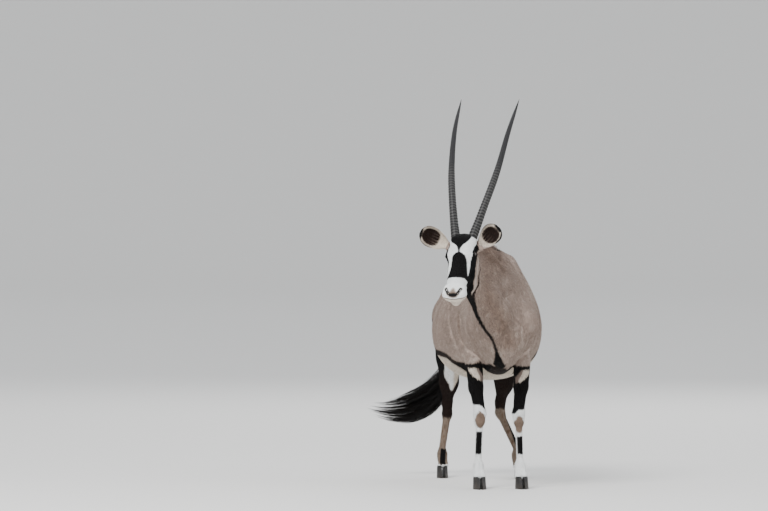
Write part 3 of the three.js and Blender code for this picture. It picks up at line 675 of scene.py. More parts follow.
@dataclass
class SkinNet:
    """Lays a net of triangles over a field and refines it."""

    anatomy: Anatomy
    low: Point = (-420.0, -660.0, 30.0)
    high: Point = (350.0, 1190.0, 1350.0)
    cell: float = 11.0
    coarse: int = 4
    reach: float = 2.5

    def enlarged(self, array: Array) -> Array:
        """The array with each value repeated along all three axes."""
        for axis in range(3):
            array = np.repeat(array, self.coarse, axis)
        return array

    @staticmethod
    def shifted(array: Array, step: Array, size: Array) -> Array:
        """A box of the array, of a size, that starts a step from its first corner."""
        i, j, k = step
        return array[i : i + size[0], j : j + size[1], k : k + size[2]]

    def sample(self) -> Array:
        """The field on the fine lattice, worked out only near the surface.

        A coarse lattice shows where the surface may pass: where a corner's distance is within reach, counted
        in coarse cells. Elsewhere the coarse value stands for its whole cell.

        Returns:
            Values at the lattice's corners.
        """
        step = self.cell * self.coarse
        low, high = np.array(self.low), np.array(self.high)
        count = np.ceil((high - low) / step).astype(int)
        grids = np.meshgrid(*[np.arange(n + 1) for n in count], indexing="ij")
        corners = np.stack(grids, -1).reshape(-1, 3)
        rough = self.anatomy.skin(low + corners * step).reshape(count + 1)
        shape = count * self.coarse + 1
        values = self.shifted(self.enlarged(rough), CUBE[0], shape).copy()
        near = np.zeros(count, bool)
        for way in CUBE:
            near |= np.abs(self.shifted(rough, way, count)) < step * self.reach
        wanted = np.zeros(shape, bool)
        inner = self.enlarged(near)
        for way in CUBE:
            self.shifted(wanted, way, inner.shape)[inner] = True
        picked = np.argwhere(wanted)
        values[wanted] = self.anatomy.skin(low + picked * self.cell)
        return self.unpinched(values)

    @staticmethod
    def unpinched(values: Array) -> Array:
        """Fills lattice squares whose inside corners only meet across them, where the net would pinch."""
        for _ in range(4):
            for first, second in ((0, 1), (1, 2), (0, 2)):
                turned = np.moveaxis(values, (first, second), (0, 1))
                parts = [turned[:-1, :-1], turned[1:, 1:], turned[:-1, 1:], turned[1:, :-1]]
                a, b, c, d = (part < 0 for part in parts)
                crossed = (a == b) & (c == d) & (a != c)
                for part in parts:
                    part[crossed & (part >= 0)] = -0.01
        return values

    def net(self) -> tuple[Array, Array]:
        """A closed net: one point in each cell that the surface crosses, joined across the lattice's edges.

        A cell's point is the middle of the places where its edges cross the surface.

        Returns:
            Points, and faces as rows of three indices.
        """
        values = self.sample()
        inside = values < 0
        size = np.array(values.shape) - 1
        count = sum(self.shifted(inside, step, size).astype(int) for step in CUBE)
        mixed = (count > 0) & (count < 8)
        cells = np.argwhere(mixed)
        total, hits = np.zeros((len(cells), 3)), np.zeros(len(cells))
        for one in range(8):
            for axis in range(3):
                if one >> axis & 1:
                    continue
                two = one | 1 << axis
                a, b = (self.shifted(values, CUBE[end], size)[mixed] for end in (one, two))
                cut = (a < 0) != (b < 0)
                share = a[cut] / (a[cut] - b[cut])
                total[cut] += CUBE[one] + share[:, None] * (CUBE[two] - CUBE[one])
                hits[cut] += 1
        points = np.array(self.low) + (cells + total / hits[:, None]) * self.cell
        index = np.full(size, -1)
        index[mixed] = np.arange(len(cells))
        quads = np.concatenate([self.quads_along(inside, index, axis) for axis in range(3)])
        first = np.linalg.norm(points[quads[:, 0]] - points[quads[:, 2]], axis=1)
        second = np.linalg.norm(points[quads[:, 1]] - points[quads[:, 3]], axis=1)
        short = (first < second)[:, None]
        halves = np.where(short, quads[:, [0, 1, 2]], quads[:, [0, 1, 3]])
        others = np.where(short, quads[:, [0, 2, 3]], quads[:, [1, 2, 3]])
        return points, np.concatenate([halves, others])

    @staticmethod
    def quads_along(inside: Array, index: Array, axis: int) -> Array:
        """Four-cornered faces round the lattice edges of one axis that cross the surface.

        Args:
            inside: which corners lie inside.
            index: each cell's point, or -1.
            axis: 0, 1 or 2.

        Returns:
            Rows of four indices, turned so that the face points out.
        """
        b, c = (axis + 1) % 3, (axis + 2) % 3
        moved = np.moveaxis(inside, (axis, b, c), (0, 1, 2))
        cells = np.moveaxis(index, (axis, b, c), (0, 1, 2))
        start, end = moved[:-1, 1:-1, 1:-1], moved[1:, 1:-1, 1:-1]
        cut = np.argwhere(start != end)
        i, j, k = cut[:, 0], cut[:, 1] + 1, cut[:, 2] + 1
        around = [cells[i, j - 1, k - 1], cells[i, j, k - 1], cells[i, j, k], cells[i, j - 1, k]]
        quads = np.stack(around, 1)
        leaving = moved[i, j, k]
        return np.where(leaving[:, None], quads, quads[:, ::-1])

    @staticmethod
    def relax(points: Array, faces: Array, share: float = 0.5) -> Array:
        """Draws each point towards the middle of its neighbours, but only within the surface.

        Args:
            points: the net's points.
            faces: its faces.
            share: how far.

        Returns:
            New points.
        """
        pairs = np.concatenate([faces[:, [0, 1]], faces[:, [1, 2]], faces[:, [2, 0]]])
        count = np.bincount(pairs[:, 0], minlength=len(points))
        sums = [np.bincount(pairs[:, 0], points[pairs[:, 1], k], len(points)) for k in range(3)]
        move = np.stack(sums, -1) / np.maximum(count, 1)[:, None] - points
        normals = point_normals(points, faces)
        move -= np.sum(move * normals, 1, keepdims=True) * normals
        return points + share * move

    @staticmethod
    def split(points: Array, faces: Array, target: Array) -> tuple[Array, Array]:
        """Halves each edge that is longer than its target, and cuts the faces beside it.

        A face with one long edge becomes two, with two long edges three, and with three long edges four.

        Args:
            points: the net's points.
            faces: its faces.
            target: the wanted edge length at each point.

        Returns:
            New points and faces.
        """
        count = len(points)
        ends = np.sort(np.stack([faces, np.roll(faces, -1, 1)], -1), -1)
        keys, where = np.unique(ends[..., 0] * count + ends[..., 1], return_inverse=True)
        a, b = keys // count, keys % count
        length = np.linalg.norm(points[a] - points[b], axis=1)
        long = length > 1.35 * (target[a] + target[b]) / 2
        fresh = np.full(len(keys), -1)
        fresh[long] = count + np.arange(long.sum())
        points = np.vstack([points, (points[a[long]] + points[b[long]]) / 2])
        middle = fresh[where.reshape(faces.shape)]
        marks = (middle >= 0).sum(1)
        done = [faces[marks == 0]]
        one, m = SkinNet.turned(faces, middle, marks == 1, 0)
        done += [np.stack([one[:, 0], m[:, 0], one[:, 2]], 1), np.stack([m[:, 0], one[:, 1], one[:, 2]], 1)]
        two, m = SkinNet.turned(faces, middle, marks == 2, 2)
        done += [
            np.stack([m[:, 0], two[:, 1], m[:, 1]], 1),
            np.stack([two[:, 0], m[:, 0], m[:, 1]], 1),
            np.stack([two[:, 0], m[:, 1], two[:, 2]], 1),
        ]
        all_three, m = faces[marks == 3], middle[marks == 3]
        done += [
            np.stack([all_three[:, 0], m[:, 0], m[:, 2]], 1),
            np.stack([m[:, 0], all_three[:, 1], m[:, 1]], 1),
            np.stack([m[:, 2], m[:, 1], all_three[:, 2]], 1),
            m,
        ]
        return points, np.concatenate(done)

    @staticmethod
    def turned(faces: Array, middle: Array, wanted: Array, spare: int) -> tuple[Array, Array]:
        """Faces turned so that their long edges come first.

        Args:
            faces: all faces.
            middle: the new point on each edge, or -1.
            wanted: which faces are asked for.
            spare: 0 if the first edge is the long one, 2 if the last is the short one.

        Returns:
            The faces, and their new points, both turned.
        """
        picked, marks = faces[wanted], middle[wanted]
        if spare == 0:
            start = (marks >= 0).argmax(1)
        else:
            start = ((marks < 0).argmax(1) + 1) % 3
        order = (start[:, None] + np.arange(3)) % 3
        return np.take_along_axis(picked, order, 1), np.take_along_axis(marks, order, 1)

    def target(self, points: Array) -> Array:
        """The wanted edge length: long on the trunk, short on the legs, shorter on the feet and head."""
        s, _, _ = HEAD.local(points)
        wanted = mix(6.5, 12.5, ramp(points[:, 2], 600, 720))
        wanted = np.minimum(wanted, mix(4.2, 12.0, ramp(points[:, 2], 130, 260)))
        in_head = HEAD.past_neck(points)
        wanted = np.minimum(wanted, mix(14.0, 4.4, ramp(in_head, -60, 10)))
        wanted = np.minimum(wanted, mix(4.4, 2.3, ramp(s, 280, 310)) + 20 * (in_head < -10))
        for side in SIDES:
            looks = HEAD.eye_ways(side)[2]
            gap = np.linalg.norm(points - HEAD.eye_at(side) - looks * 12, axis=1)
            wanted = np.minimum(wanted, mix(1.7, 14.0, ramp(gap, 30, 60)))
        return wanted

    def build(self) -> tuple[Array, Array]:
        """The finished net.

        Returns:
            Points and faces.
        """
        points, faces = self.net()
        points = self.anatomy.settle(points, 2)
        for _ in range(3):
            points, faces = self.split(points, faces, self.target(points))
            points = self.anatomy.settle(self.relax(points, faces))
        points = self.anatomy.settle(self.relax(points, faces))
        log.info("skin net: %d faces", len(faces))
        return points, faces


def point_normals(points: Array, faces: Array) -> Array:
    """Normals at points: the sum of the faces' own, weighed by area."""
    a, b, c = corners_of(points, faces)
    normals = np.cross(b - a, c - a)
    total = [
        sum(np.bincount(faces[:, j], normals[:, k], len(points)) for j in range(3)) for k in range(3)
    ]
    return unit(np.stack(total, -1))


class Region(Enum):
    """Where on the animal a point lies. The value is its patch of the bake map: left, low, wide, high."""

    TRUNK = (0.01, 0.01, 0.48, 0.48)
    NECK = (0.51, 0.01, 0.23, 0.31)
    HEAD = (0.51, 0.34, 0.48, 0.35)
    FORE_LEFT = (0.01, 0.51, 0.11, 0.48)
    FORE_RIGHT = (0.13, 0.51, 0.11, 0.48)
    HIND_LEFT = (0.25, 0.51, 0.11, 0.48)
    HIND_RIGHT = (0.37, 0.51, 0.11, 0.48)
    TAIL = (0.76, 0.01, 0.10, 0.31)
    EAR_LEFT = (0.51, 0.71, 0.23, 0.28)
    EAR_RIGHT = (0.76, 0.71, 0.23, 0.28)
    OTHER = (0.88, 0.01, 0.11, 0.31)

    @property
    def number(self) -> int:
        """The region's place in REGIONS."""
        return REGIONS.index(self)


REGIONS = list(Region)
LIMBS = {
    Region.FORE_LEFT: FORELEGS[LEFT],
    Region.FORE_RIGHT: FORELEGS[RIGHT],
    Region.HIND_LEFT: HINDLEGS[LEFT],
    Region.HIND_RIGHT: HINDLEGS[RIGHT],
}


@dataclass
class Unwrap:
    """Lays the skin's own shape flat: an angle round each part, and a length along it."""

    neck_cut: Point = (-30.0, -66.0, 1000.0)
    elbow: float = 650.0

    def regions(self, points: Array) -> Array:
        """Each point's place in REGIONS."""
        x, y, z = points.T
        found = np.full(len(points), Region.TRUNK.number)
        on_neck = (points - np.array(self.neck_cut)) @ unit(vector(-0.25, -0.7, 0.67)) > 0
        on_head = HEAD.past_neck(points) > 0
        found[on_neck] = Region.NECK.number
        found[on_head] = Region.HEAD.number
        fore = (z < self.elbow) & (y < 230) & (np.abs(x) > 50) & ~on_head
        fore |= (z < 540) & (y < 400) & ~on_head
        found[fore & (x > 0)] = Region.FORE_LEFT.number
        found[fore & (x <= 0)] = Region.FORE_RIGHT.number
        below_flank = (points - vector(0, 740, 622)) @ unit(vector(0, -0.42, 0.86)) < 0
        hind = below_flank & (y > 600)
        found[hind & (x > 15)] = Region.HIND_LEFT.number
        found[hind & (x <= 15)] = Region.HIND_RIGHT.number
        found[(y > 1062) & (z > 480)] = Region.TAIL.number
        return found

    def flat(self, points: Array, regions: Array) -> tuple[Array, Array]:
        """Angles round each point's part, and shares of length along it.

        Args:
            points: places in millimetres.
            regions: their places in REGIONS.

        Returns:
            Angles in turns from -0.5 to 0.5, and shares from 0 to 1.
        """
        turn, share = np.zeros(len(points)), np.zeros(len(points))
        for number, region in enumerate(REGIONS):
            picked = regions == number
            if picked.any():
                turn[picked], share[picked] = self.part(points[picked], region)
        return turn, np.clip(share, 0, 1)

    def part(self, points: Array, region: Region) -> tuple[Array, Array]:
        """Angle and share of points that lie on one part."""
        x, y, z = points.T
        if region is Region.TRUNK:
            round_about = np.hypot(x, z - 876)
            end = mix(-1.0, 1.0, ramp(y, 0, 900)) * (1 - ramp(y, 0, 200) * ramp(y, 800, 600))
            share = (y + 420 + end * (220 - round_about)) / 1750
            return np.arctan2(x, z - 876) / math.tau, share
        if region is Region.NECK:
            way = unit(vector(180, 325, -190))
            side = unit(np.cross(way, vector(0, 0, 1)))
            off = points - vector(-180, -265, 1110)
            turn = np.arctan2(off @ side, off @ np.cross(side, way)) / math.tau
            return turn, (off @ way + 220) / 640
        if region is Region.HEAD:
            s, l, n = HEAD.local(points)
            end = ramp(s, 250, 340) - ramp(s, 60, -20)
            share = (s + 130 + end * (80 - np.hypot(l, n + 64))) / 620
            return np.arctan2(l, n + 64) / math.tau, share
        if region is Region.TAIL:
            return np.arctan2(x + 10, y - 1110) / math.tau, (1060 - z) / 640
        middle = leg_middle(LIMBS[region], z)
        return np.arctan2(x - middle[:, 0], middle[:, 1] - y) / math.tau, z / 860

    def place(self, turn: Array, share: Array, regions: Array) -> Array:
        """Places on the bake map."""
        boxes = np.array([region.value for region in REGIONS])[regions]
        margin = 0.03
        u = boxes[:, 0] + boxes[:, 2] * (margin + (1 - 2 * margin) * (turn + 0.5))
        v = boxes[:, 1] + boxes[:, 3] * (margin + (1 - 2 * margin) * share)
        return np.stack([u, v], -1)

    def roots(self, points: Array) -> Array:
        """Where on the map tufts with these roots lie."""
        regions = self.regions(points)
        turn, share = self.flat(points, regions)
        return self.place(turn, share, regions)

    def corners(self, points: Array, faces: Array) -> Array:
        """Map places of each face's corners, with a face's corners kept on one side of a seam.

        Args:
            points: the skin's points.
            faces: its faces.

        Returns:
            One row for each corner.
        """
        middles = points[faces].mean(1)
        regions = self.regions(middles)
        middle_turn, _ = self.flat(middles, regions)
        shown = []
        for k in range(3):
            turn, share = self.flat(points[faces[:, k]], regions)
            turn = middle_turn + (turn - middle_turn + 0.5) % 1 - 0.5
            shown.append(self.place(turn, share, regions))
        return np.stack(shown, 1).reshape(-1, 2)


def leg_middle(leg: Foreleg | Hindleg, z: Array) -> Array:
    """The middle of a leg at heights, as x and y."""
    line = leg.line()[::-1]
    return np.stack([np.interp(z, line[:, 2], line[:, k]) for k in range(2)], -1)


def about_leg(leg: Foreleg | Hindleg, points: Array) -> tuple[Array, Array]:
    """How far points lie outwards and forwards of a leg's middle."""
    middle = leg_middle(leg, points[:, 2])
    return (points[:, 0] - middle[:, 0]) * leg.side, middle[:, 1] - points[:, 1]


def chain_distance(path: Array, points: Array, margin: float) -> Array:
    """How far points lie outside a chain of tapered rods.

    Args:
        path: rows of x, y, z and radius.
        points: places.
        margin: how far out a rod is worked out, with FAR beyond.

    Returns:
        Distances.
    """
    distance = np.full(len(points), FAR)
    for a, b in zip(path, path[1:]):
        rod = Rod(a[:3], b[:3], a[3], b[3])
        close = rod.near(points, margin)
        distance[close] = np.minimum(distance[close], rod.distance(points[close]))
    return distance


@dataclass(frozen=True)
class Brush:
    """A stroke of colour: what lies within a chain of tapered rods takes it, with a hairy edge."""

    path: Array  # rows of x, y, z and radius
    colour: str
    edge: float = 6.0
    strength: float = 1.0

    def cover(self, points: Array, ragged: Array) -> Array:
        """How much of the colour each point takes, from 0 to 1; a random value shifts its edge."""
        distance = chain_distance(self.path, points, 4 * self.edge)
        return self.strength * ramp(distance + ragged * self.edge * 0.7, self.edge, -self.edge)


# The mask's middle, the half width of its black, and how far back its white and its black reach, by s
MASK_MIDDLE = [
    (-70, -9), (0, -9), (22, -10), (37, -7), (52, -6), (67, -4.5), (85, -2.5), (97, -1), (120, 0.5),
    (150, 3), (172, 4.5), (250, 4.5), (300, 0), (340, -4), (370, -5),
]
MASK_BLACK = [
    (-70, 66), (-40, 62), (-23, 57), (0, 52), (22, 41.5), (37, 27), (50, 15.5), (67, 8.5), (80, 5.5),
    (90, 4.2), (94, 4.6), (97, 11), (103.5, 22), (111, 31), (120, 35.5), (131, 38.5), (150, 40),
    (172, 41.5), (190, 44), (212, 47.5), (226, 54), (260, 70),
]
WHITE_BACK = [
    (-70, -60), (-40, -54), (-3, -49), (21, -44), (49, -28), (76, -20), (99, -25), (112, -34), (122, -39),
    (135, -47), (159, -52), (212, -54), (260, -60),
]
CHEEK_BACK = [
    (-60, -40), (-10, -57), (11, -66), (26, -80), (60, -84), (84, -85), (108, -97), (128, -113),
    (151, -130), (158, -160), (170, -185), (220, -200), (340, -220),
]
LIP_LINE = [(280, -82), (300, -76), (320, -70), (340, -63), (358, -54), (375, -45), (390, -41)]
NOSTRILS = {
    side: Rod(vector(333, side * 40, -16), vector(361, side * 25, -20), 4.4, 4.4) for side in SIDES
}
NOSE_PAD = np.array([
    (361, 24, -22, 5), (368, 13, -24, 9), (369, 0, -25, 11), (368, -13, -24, 9), (361, -24, -22, 5),
])
FLANK_HEIGHT = [
    (200, 606), (243, 632), (256, 650), (280, 664), (320, 674), (500, 688), (620, 702), (800, 728),
]
KNEE_DROP = [
    (60, 0), (178, 0), (230, -15), (292, -26), (395, -24), (430, -23), (520, -16), (600, -12), (700, -12),
]


@dataclass
class Markings:
    """The coat's colours at any place on the animal, with painted highlight and shade in places."""

    anatomy: Anatomy
    face_reach: float = 330.0  # how far the mask's colours may lie from the head's middle
    palette: dict[str, Point] = field(default_factory=lambda: {
        "fawn": (0.632, 0.562, 0.520),
        "grey": (0.545, 0.482, 0.445),
        "light": (0.760, 0.705, 0.662),
        "belly": (0.850, 0.805, 0.745),
        "white": (0.930, 0.935, 0.930),
        "black": (0.045, 0.038, 0.040),
        "dark": (0.115, 0.078, 0.064),
        "umber": (0.375, 0.290, 0.235),
        "knee": (0.480, 0.410, 0.360),
        "hock": (0.520, 0.475, 0.430),
        "pad": (0.085, 0.080, 0.082),
    })

    def __post_init__(self) -> None:
        """Lays the strokes of the trunk, neck and tops of the legs once."""
        self.brushes = self.body_brushes()

    def tone(self, name: str) -> Array:
        """A colour of the palette."""
        return np.array(self.palette[name])

    def over(self, colours: Array, *layers: tuple[str, Array]) -> Array:
        """The colours with layers over them, undermost first: a name from the palette and its cover."""
        for name, cover in layers:
            colours = mix(colours, self.tone(name), cover[:, None])
        return colours

    def laid(self, rows: list[tuple[float, ...]]) -> Array:
        """A stroke's stops moved onto the skin, with their radii."""
        table = np.array(rows, float)
        table[:, :3] = self.anatomy.settle(table[:, :3], 10)
        return table

    def head_stroke(self, rows: list[tuple[float, ...]], side: int) -> Array:
        """A stroke given in the head's frame for the left side, laid on either side."""
        return self.laid([(*HEAD.point(s, side * l, n), radius) for s, l, n, radius in rows])

    def body_brushes(self) -> list[Brush]:
        """Strokes on the trunk, neck and tops of the legs, undermost first.

        Returns:
            The strokes.
        """
        crest = self.anatomy.crest.at(np.linspace(0, 1, 6))
        mane = np.column_stack([crest + (0, 0, 40), (44, 50, 52, 50, 44, 36)])
        spine = np.array([
            (-6, 60, 1224, 22), (0, 250, 1200, 20), (6, 420, 1156, 20), (12, 600, 1128, 22),
            (15, 760, 1114, 28), (15, 900, 1104, 38), (15, 1000, 1060, 38), (15, 1040, 1030, 30),
        ])
        dock = np.column_stack(self.anatomy.dock(32.0, 16.0))
        throat = [
            (-236, -392, 1090, 26), (-222, -356, 1056, 30), (-208, -318, 1005, 32), (-196, -272, 968, 29),
            (-186, -250, 935, 23), (-174, -228, 907, 17), (-158, -222, 886, 13), (-125, -221, 840, 9),
            (-82, -203, 778, 8), (-48, -172, 722, 6.5), (-40, -164, 700, 8), (-30, -148, 668, 18),
            (-20, -115, 636, 34),
        ]
        chest = [
            (-170, 60, 622, 6), (-153, -5, 630, 5.5), (-128, -24, 635, 6), (-102, -13, 642, 8.5),
            (-84, 4, 616, 14), (-60, 0, 610, 14), (-28, -60, 612, 24), (-8, -70, 608, 30),
            (20, 30, 596, 27), (45, 90, 588, 27), (70, 50, 603, 14), (90, 0, 612, 8),
            (118, -22, 618, 5.5), (146, -12, 617, 5.5), (168, 30, 612, 6),
        ]
        flank = [
            (150, 150, 606, 22), (188, 222, 620, 22), (207, 243, 632, 21), (224, 256, 650, 20),
            (238, 280, 664, 18), (250, 320, 674, 17), (258, 400, 680, 17), (258, 500, 688, 19),
            (244, 620, 702, 26), (216, 730, 720, 38), (198, 800, 728, 50),
        ]
        strip = [
            (21, 82, -86, 3), (34, 78, -106, 5), (60, 80, -108, 6.5), (94, 79, -113, 7.5),
            (112, 74, -138, 8), (130, 70, -155, 8), (150, 62, -183, 8), (159, 48, -215, 8),
            (175, 41, -230, 7.5), (184, 36, -248, 5),
        ]
        line = [
            (40, 82, -128, 2), (70, 84, -141, 3), (79, 79, -164, 4), (105, 76, -181, 5.5),
            (127, 74, -196, 6), (145, 70, -208, 6), (158, 60, -216, 5), (173, 50, -232, 5),
            (182, 40, -250, 8), (185, 28, -270, 12),
        ]
        nape = [(-92, -300, 1170, 50), (-20, -190, 1170, 60), (40, -60, 1190, 50)]
        # Umber down the front of the neck: partly its darker brown coat, partly painted shade on the neck's
        # underside.
        front = [(-130, -310, 1050, 20), (-90, -270, 960, 34), (-30, -235, 860, 44), (20, -190, 760, 30)]
        blaze = [(-92, -245, 1190, 24), (-40, -195, 1165, 30), (6, -150, 1120, 22)]
        strokes = [
            Brush(np.array([(0, 380, 520, 150), (0, 640, 560, 170)]), "belly", 26),
            Brush(np.array([(0, 150, 560, 110), (0, 380, 520, 150)]), "belly", 22),
            Brush(self.laid(nape), "umber", 60, 0.36),
            Brush(self.laid(front), "umber", 70, 0.44),
            Brush(self.laid(blaze), "umber", 26, 0.3),
            Brush(mane, "umber", 22, 0.42),
            Brush(spine, "dark", 9),
            Brush(dock, "black", 4),
            Brush(self.laid(throat), "black", 3.5),
            Brush(np.array([(-110, 30, 600, 30), (-20, 20, 585, 44), (110, 30, 600, 30)]), "dark", 8),
            Brush(self.laid(chest), "dark", 3.5),
        ]
        for side, swing in ((LEFT, self.anatomy.rump_swing), (RIGHT, 0.0)):
            # Painted highlight: a lighter band over the top of each shoulder, where light falls on its rise.
            shoulder_highlight = [(side * 235, -40, 900, 60), (side * 215, 90, 1050, 60)]
            strokes.append(Brush(self.laid(shoulder_highlight), "light", 60, 0.35))
            # Painted shade: umber along the groove behind each upper arm, where the barrel meets the
            # shoulder.
            behind = [(side * 204, 62, 900, 4), (side * 202, 66, 810, 5), (side * 190, 66, 730, 4)]
            strokes.append(Brush(self.laid(behind), "umber", 14, 0.45))
            rows = [(side * x + swing * ramp(y, 250, 800), y, z, r) for x, y, z, r in flank]
            strokes.append(Brush(self.laid(rows), "dark", 5))
            strokes.append(Brush(self.head_stroke(strip, side), "light", 2.5))
            strokes.append(Brush(self.head_stroke(line, side), "dark", 2.0))
        return strokes

    def face_colour(self, points: Array, base: Array, ragged: Array) -> Array:
        """The head's mask: white, with a black forehead, nose bridge and cheeks, and a white muzzle.

        Args:
            points: places on the head.
            base: the coat's colour there.
            ragged: random shifts of the edges.

        Returns:
            Colours.
        """
        s, l, n = HEAD.local(points)
        aside = np.abs(l - through(MASK_MIDDLE, s)[:, 0]) + ragged * 1.4
        s = s + ragged * 1.6
        fore = ramp(s, -66, -52)
        cheek = ramp(n - through(CHEEK_BACK, s)[:, 0] + ragged * 3, -2, 2)
        colours = self.over(base, ("black", cheek * fore))
        white = ramp(n - through(WHITE_BACK, s)[:, 0] + ragged * 2, -1.5, 1.5)
        colours = self.over(colours, ("white", white * fore))
        black = ramp(through(MASK_BLACK, s)[:, 0] - aside, -1.5, 1.5)
        black = black * ramp(n, -75, -60) * ramp(s, -84, -62)
        colours = self.over(colours, ("black", black))
        muzzle = ramp(s - np.maximum(260 - 0.0085 * l**2, 247), -2.5, 2.5)
        colours = self.over(colours, ("white", muzzle))
        chin = ramp(through(LIP_LINE, s)[:, 0] - n, -2, 5) * ramp(s, 262, 290)
        colours = self.over(
            colours,
            ("belly", 0.9 * chin),
            ("light", 0.5 * chin * ramp(-n, 60, 100)),
        )
        return self.nose_colour(s, l, n, colours)

    def nose_colour(self, s: Array, l: Array, n: Array, colours: Array) -> Array:
        """Sooty nostrils joined below by the bare pad, grey hair between them, and painted shade where the
        lips meet.

        Args:
            s: places down the face.
            l: places to the left.
            n: places out of the face.
            colours: what is there already.

        Returns:
            Colours.
        """
        local = np.stack([s, l, n], -1)
        between = Rod(vector(342, 0, -11), vector(362, 0, -18), 6, 19).distance(local)
        colours = self.over(
            colours,
            ("knee", 0.85 * ramp(between, 11, -6)),
            ("pad", 0.55 * ramp(between, 2, -10) * ramp(s, 350, 364)),
        )
        pad = chain_distance(NOSE_PAD, local, 30)
        colours = self.over(colours, ("knee", 0.5 * ramp(pad, 9, 2)))
        for slit in NOSTRILS.values():
            gap = slit.distance(local)
            colours = self.over(
                colours,
                ("hock", 0.4 * ramp(gap, 9, 2)),
                ("pad", ramp(gap, 5.0, 1.5)),
            )
        colours = self.over(colours, ("pad", ramp(pad, 2.0, -3.0)))
        # Painted shade in the crease where the lips meet.
        lips = ramp(np.abs(n - through(LIP_LINE, s)[:, 0]), 5.0, 1.5) * ramp(s, 285, 300)
        return self.over(colours, ("umber", 0.7 * lips))

    def foreleg_colour(self, points: Array, side: int, base: Array, ragged: Array) -> Array:
        """The foreleg: black above with a white patch, a white knee with a grey oval, a black band.

        Args:
            points: places on the leg.
            side: LEFT or RIGHT.
            base: the colour of the trunk there.
            ragged: random shifts of the edges.

        Returns:
            Colours.
        """
        out, front = about_leg(FORELEGS[side], points)
        z = points[:, 2] + ragged * 5
        if side == LEFT:
            z = z - through(KNEE_DROP, z + 18)[:, 0]
        colours = self.over(base, ("black", ramp(z, 641, 633)))
        inner = ramp(-out, 12, 22) * ramp(-front, 2, 14) * ramp(z, 660, 630)
        colours = self.over(colours, ("belly", inner))
        facing = ramp(front, 18, 28) * ramp(z, 621, 615)
        outer_edge = through([(545, -34), (562, -2), (578, 20), (598, 32), (620, 39)], z)[:, 0]
        inner_edge = mix(-20.0, 0.0, ramp(z, 560, 622))
        patch = facing * ramp(outer_edge - out + ragged * 2, -1.5, 3.5) * ramp(z, 545, 552)
        # The patch is grey from black_edge to inner_edge, as painted shade on the leg's inner side, and pale
        # beyond inner_edge.
        black_edge = mix(-46.0, -14.0, ramp(z, 560, 622))
        colours = self.over(
            colours,
            ("grey", 0.92 * patch * ramp(out - black_edge, -3, 5)),
            ("belly", patch * ramp(out - inner_edge + ragged * 3, -3, 3)),
        )
        knee_top = 428 - 21 * ramp(-out, 8, 30) + 4 * ramp(out, 10, 30)
        colours = self.over(colours, ("white", ramp(z, knee_top + 4, knee_top - 4)))
        oval = (np.abs(out + 1) / 27) ** 1.6 + (np.abs(z - 352) / 43) ** 1.6
        oval_cover = ramp(oval + ragged * 0.12, 1.14, 0.84) * ramp(front, 2, 12)
        colours = self.over(colours, ("knee", oval_cover))
        band = ramp(z, 294, 289) * ramp(z, 176, 181) * ramp(front, -6, 2)
        colours = self.over(colours, ("black", band * ramp(np.abs(out - 2), 15.5, 12.5)))
        return self.foot_colour(points, colours)

    def hindleg_colour(self, points: Array, side: int, base: Array, ragged: Array) -> Array:
        """The hind leg: black outside, white in front above, a grey hock, a black band and a white foot.

        Args:
            points: places on the leg.
            side: LEFT or RIGHT.
            base: the colour of the trunk there.
            ragged: random shifts of the edges.

        Returns:
            Colours.
        """
        out, front = about_leg(HINDLEGS[side], points)
        z = points[:, 2] + ragged * 10
        lowest = 318.0 if side == RIGHT else 364.0
        dark = mix(self.tone("dark"), self.tone("black"), ramp(z, 480, 620)[:, None])
        y = points[:, 1] + ragged * 8
        round_top = np.hypot((y - 868) / 150, np.maximum(z - 690, 0) / 150)
        high = ramp(round_top, 1.1, 0.96) * ramp(out, 8, 36)
        rear = ramp(-front, 66, 84) * ramp(z, 560, 640)
        low = ramp(z, 700, 640) * np.maximum(ramp(y, 700, 770), ramp(z, 640, 610))
        colours = mix(base, dark, (np.maximum(high, low) * (1 - rear))[:, None])
        inside = ramp(-out, 22, 36) * ramp(z, 540, 600)
        if side == RIGHT:
            outer = mix(2.0, 38.0, ramp(z, 458, 570))
            facing = ramp(outer - out + ragged * 3, -3, 5)
            facing = facing * ramp(z, 456, 470) * ramp(front, -20, 10)
            # The white stops short of the inner edge: the dark left there is painted shade on the leg's
            # inner side.
            facing *= ramp(out + mix(16.0, 48.0, ramp(z, 465, 540)), -3, 5)
            inside = np.maximum(inside, facing)
        colours = self.over(colours, ("belly", inside * ramp(z, 800, 740)))
        if side == RIGHT:
            colours = self.over(colours, ("white", facing * ramp(z, 745, 700) * ramp(out, -22, -6)))
        colours = self.over(
            colours,
            ("hock", ramp(z, lowest + 8, lowest - 10)),
            ("umber", 0.3 * ramp(z, lowest, lowest - 20) * ramp(front, -6, 6)),
        )
        streak = speckle(points * (1, 1, 0.22), 6.0, 5)
        mottled = ramp(streak, -0.1, 0.5) * ramp(z, lowest, lowest - 20) * ramp(z, 150, 190)
        colours = self.over(
            colours,
            ("umber", 0.8 * mottled * ramp(front, -6, 8) * ramp(np.abs(out), 20, 8)),
            ("white", 0.6 * ramp(-front, 4, 16) * ramp(z, lowest, lowest - 20)),
        )
        if side == LEFT:
            stripe = ramp(z, 350, 320) * ramp(z, 120, 140) * ramp(out, 4, 10) * ramp(front, -8, 0)
            colours = self.over(colours, ("black", stripe))
        else:
            band = ramp(z, 156, 148) * ramp(z, 71, 77) * ramp(front, -8, 0) * ramp(np.abs(out), 16, 12)
            colours = self.over(colours, ("black", band))
        colours = self.over(colours, ("white", ramp(z, 75, 69)))
        return self.foot_colour(points, colours)

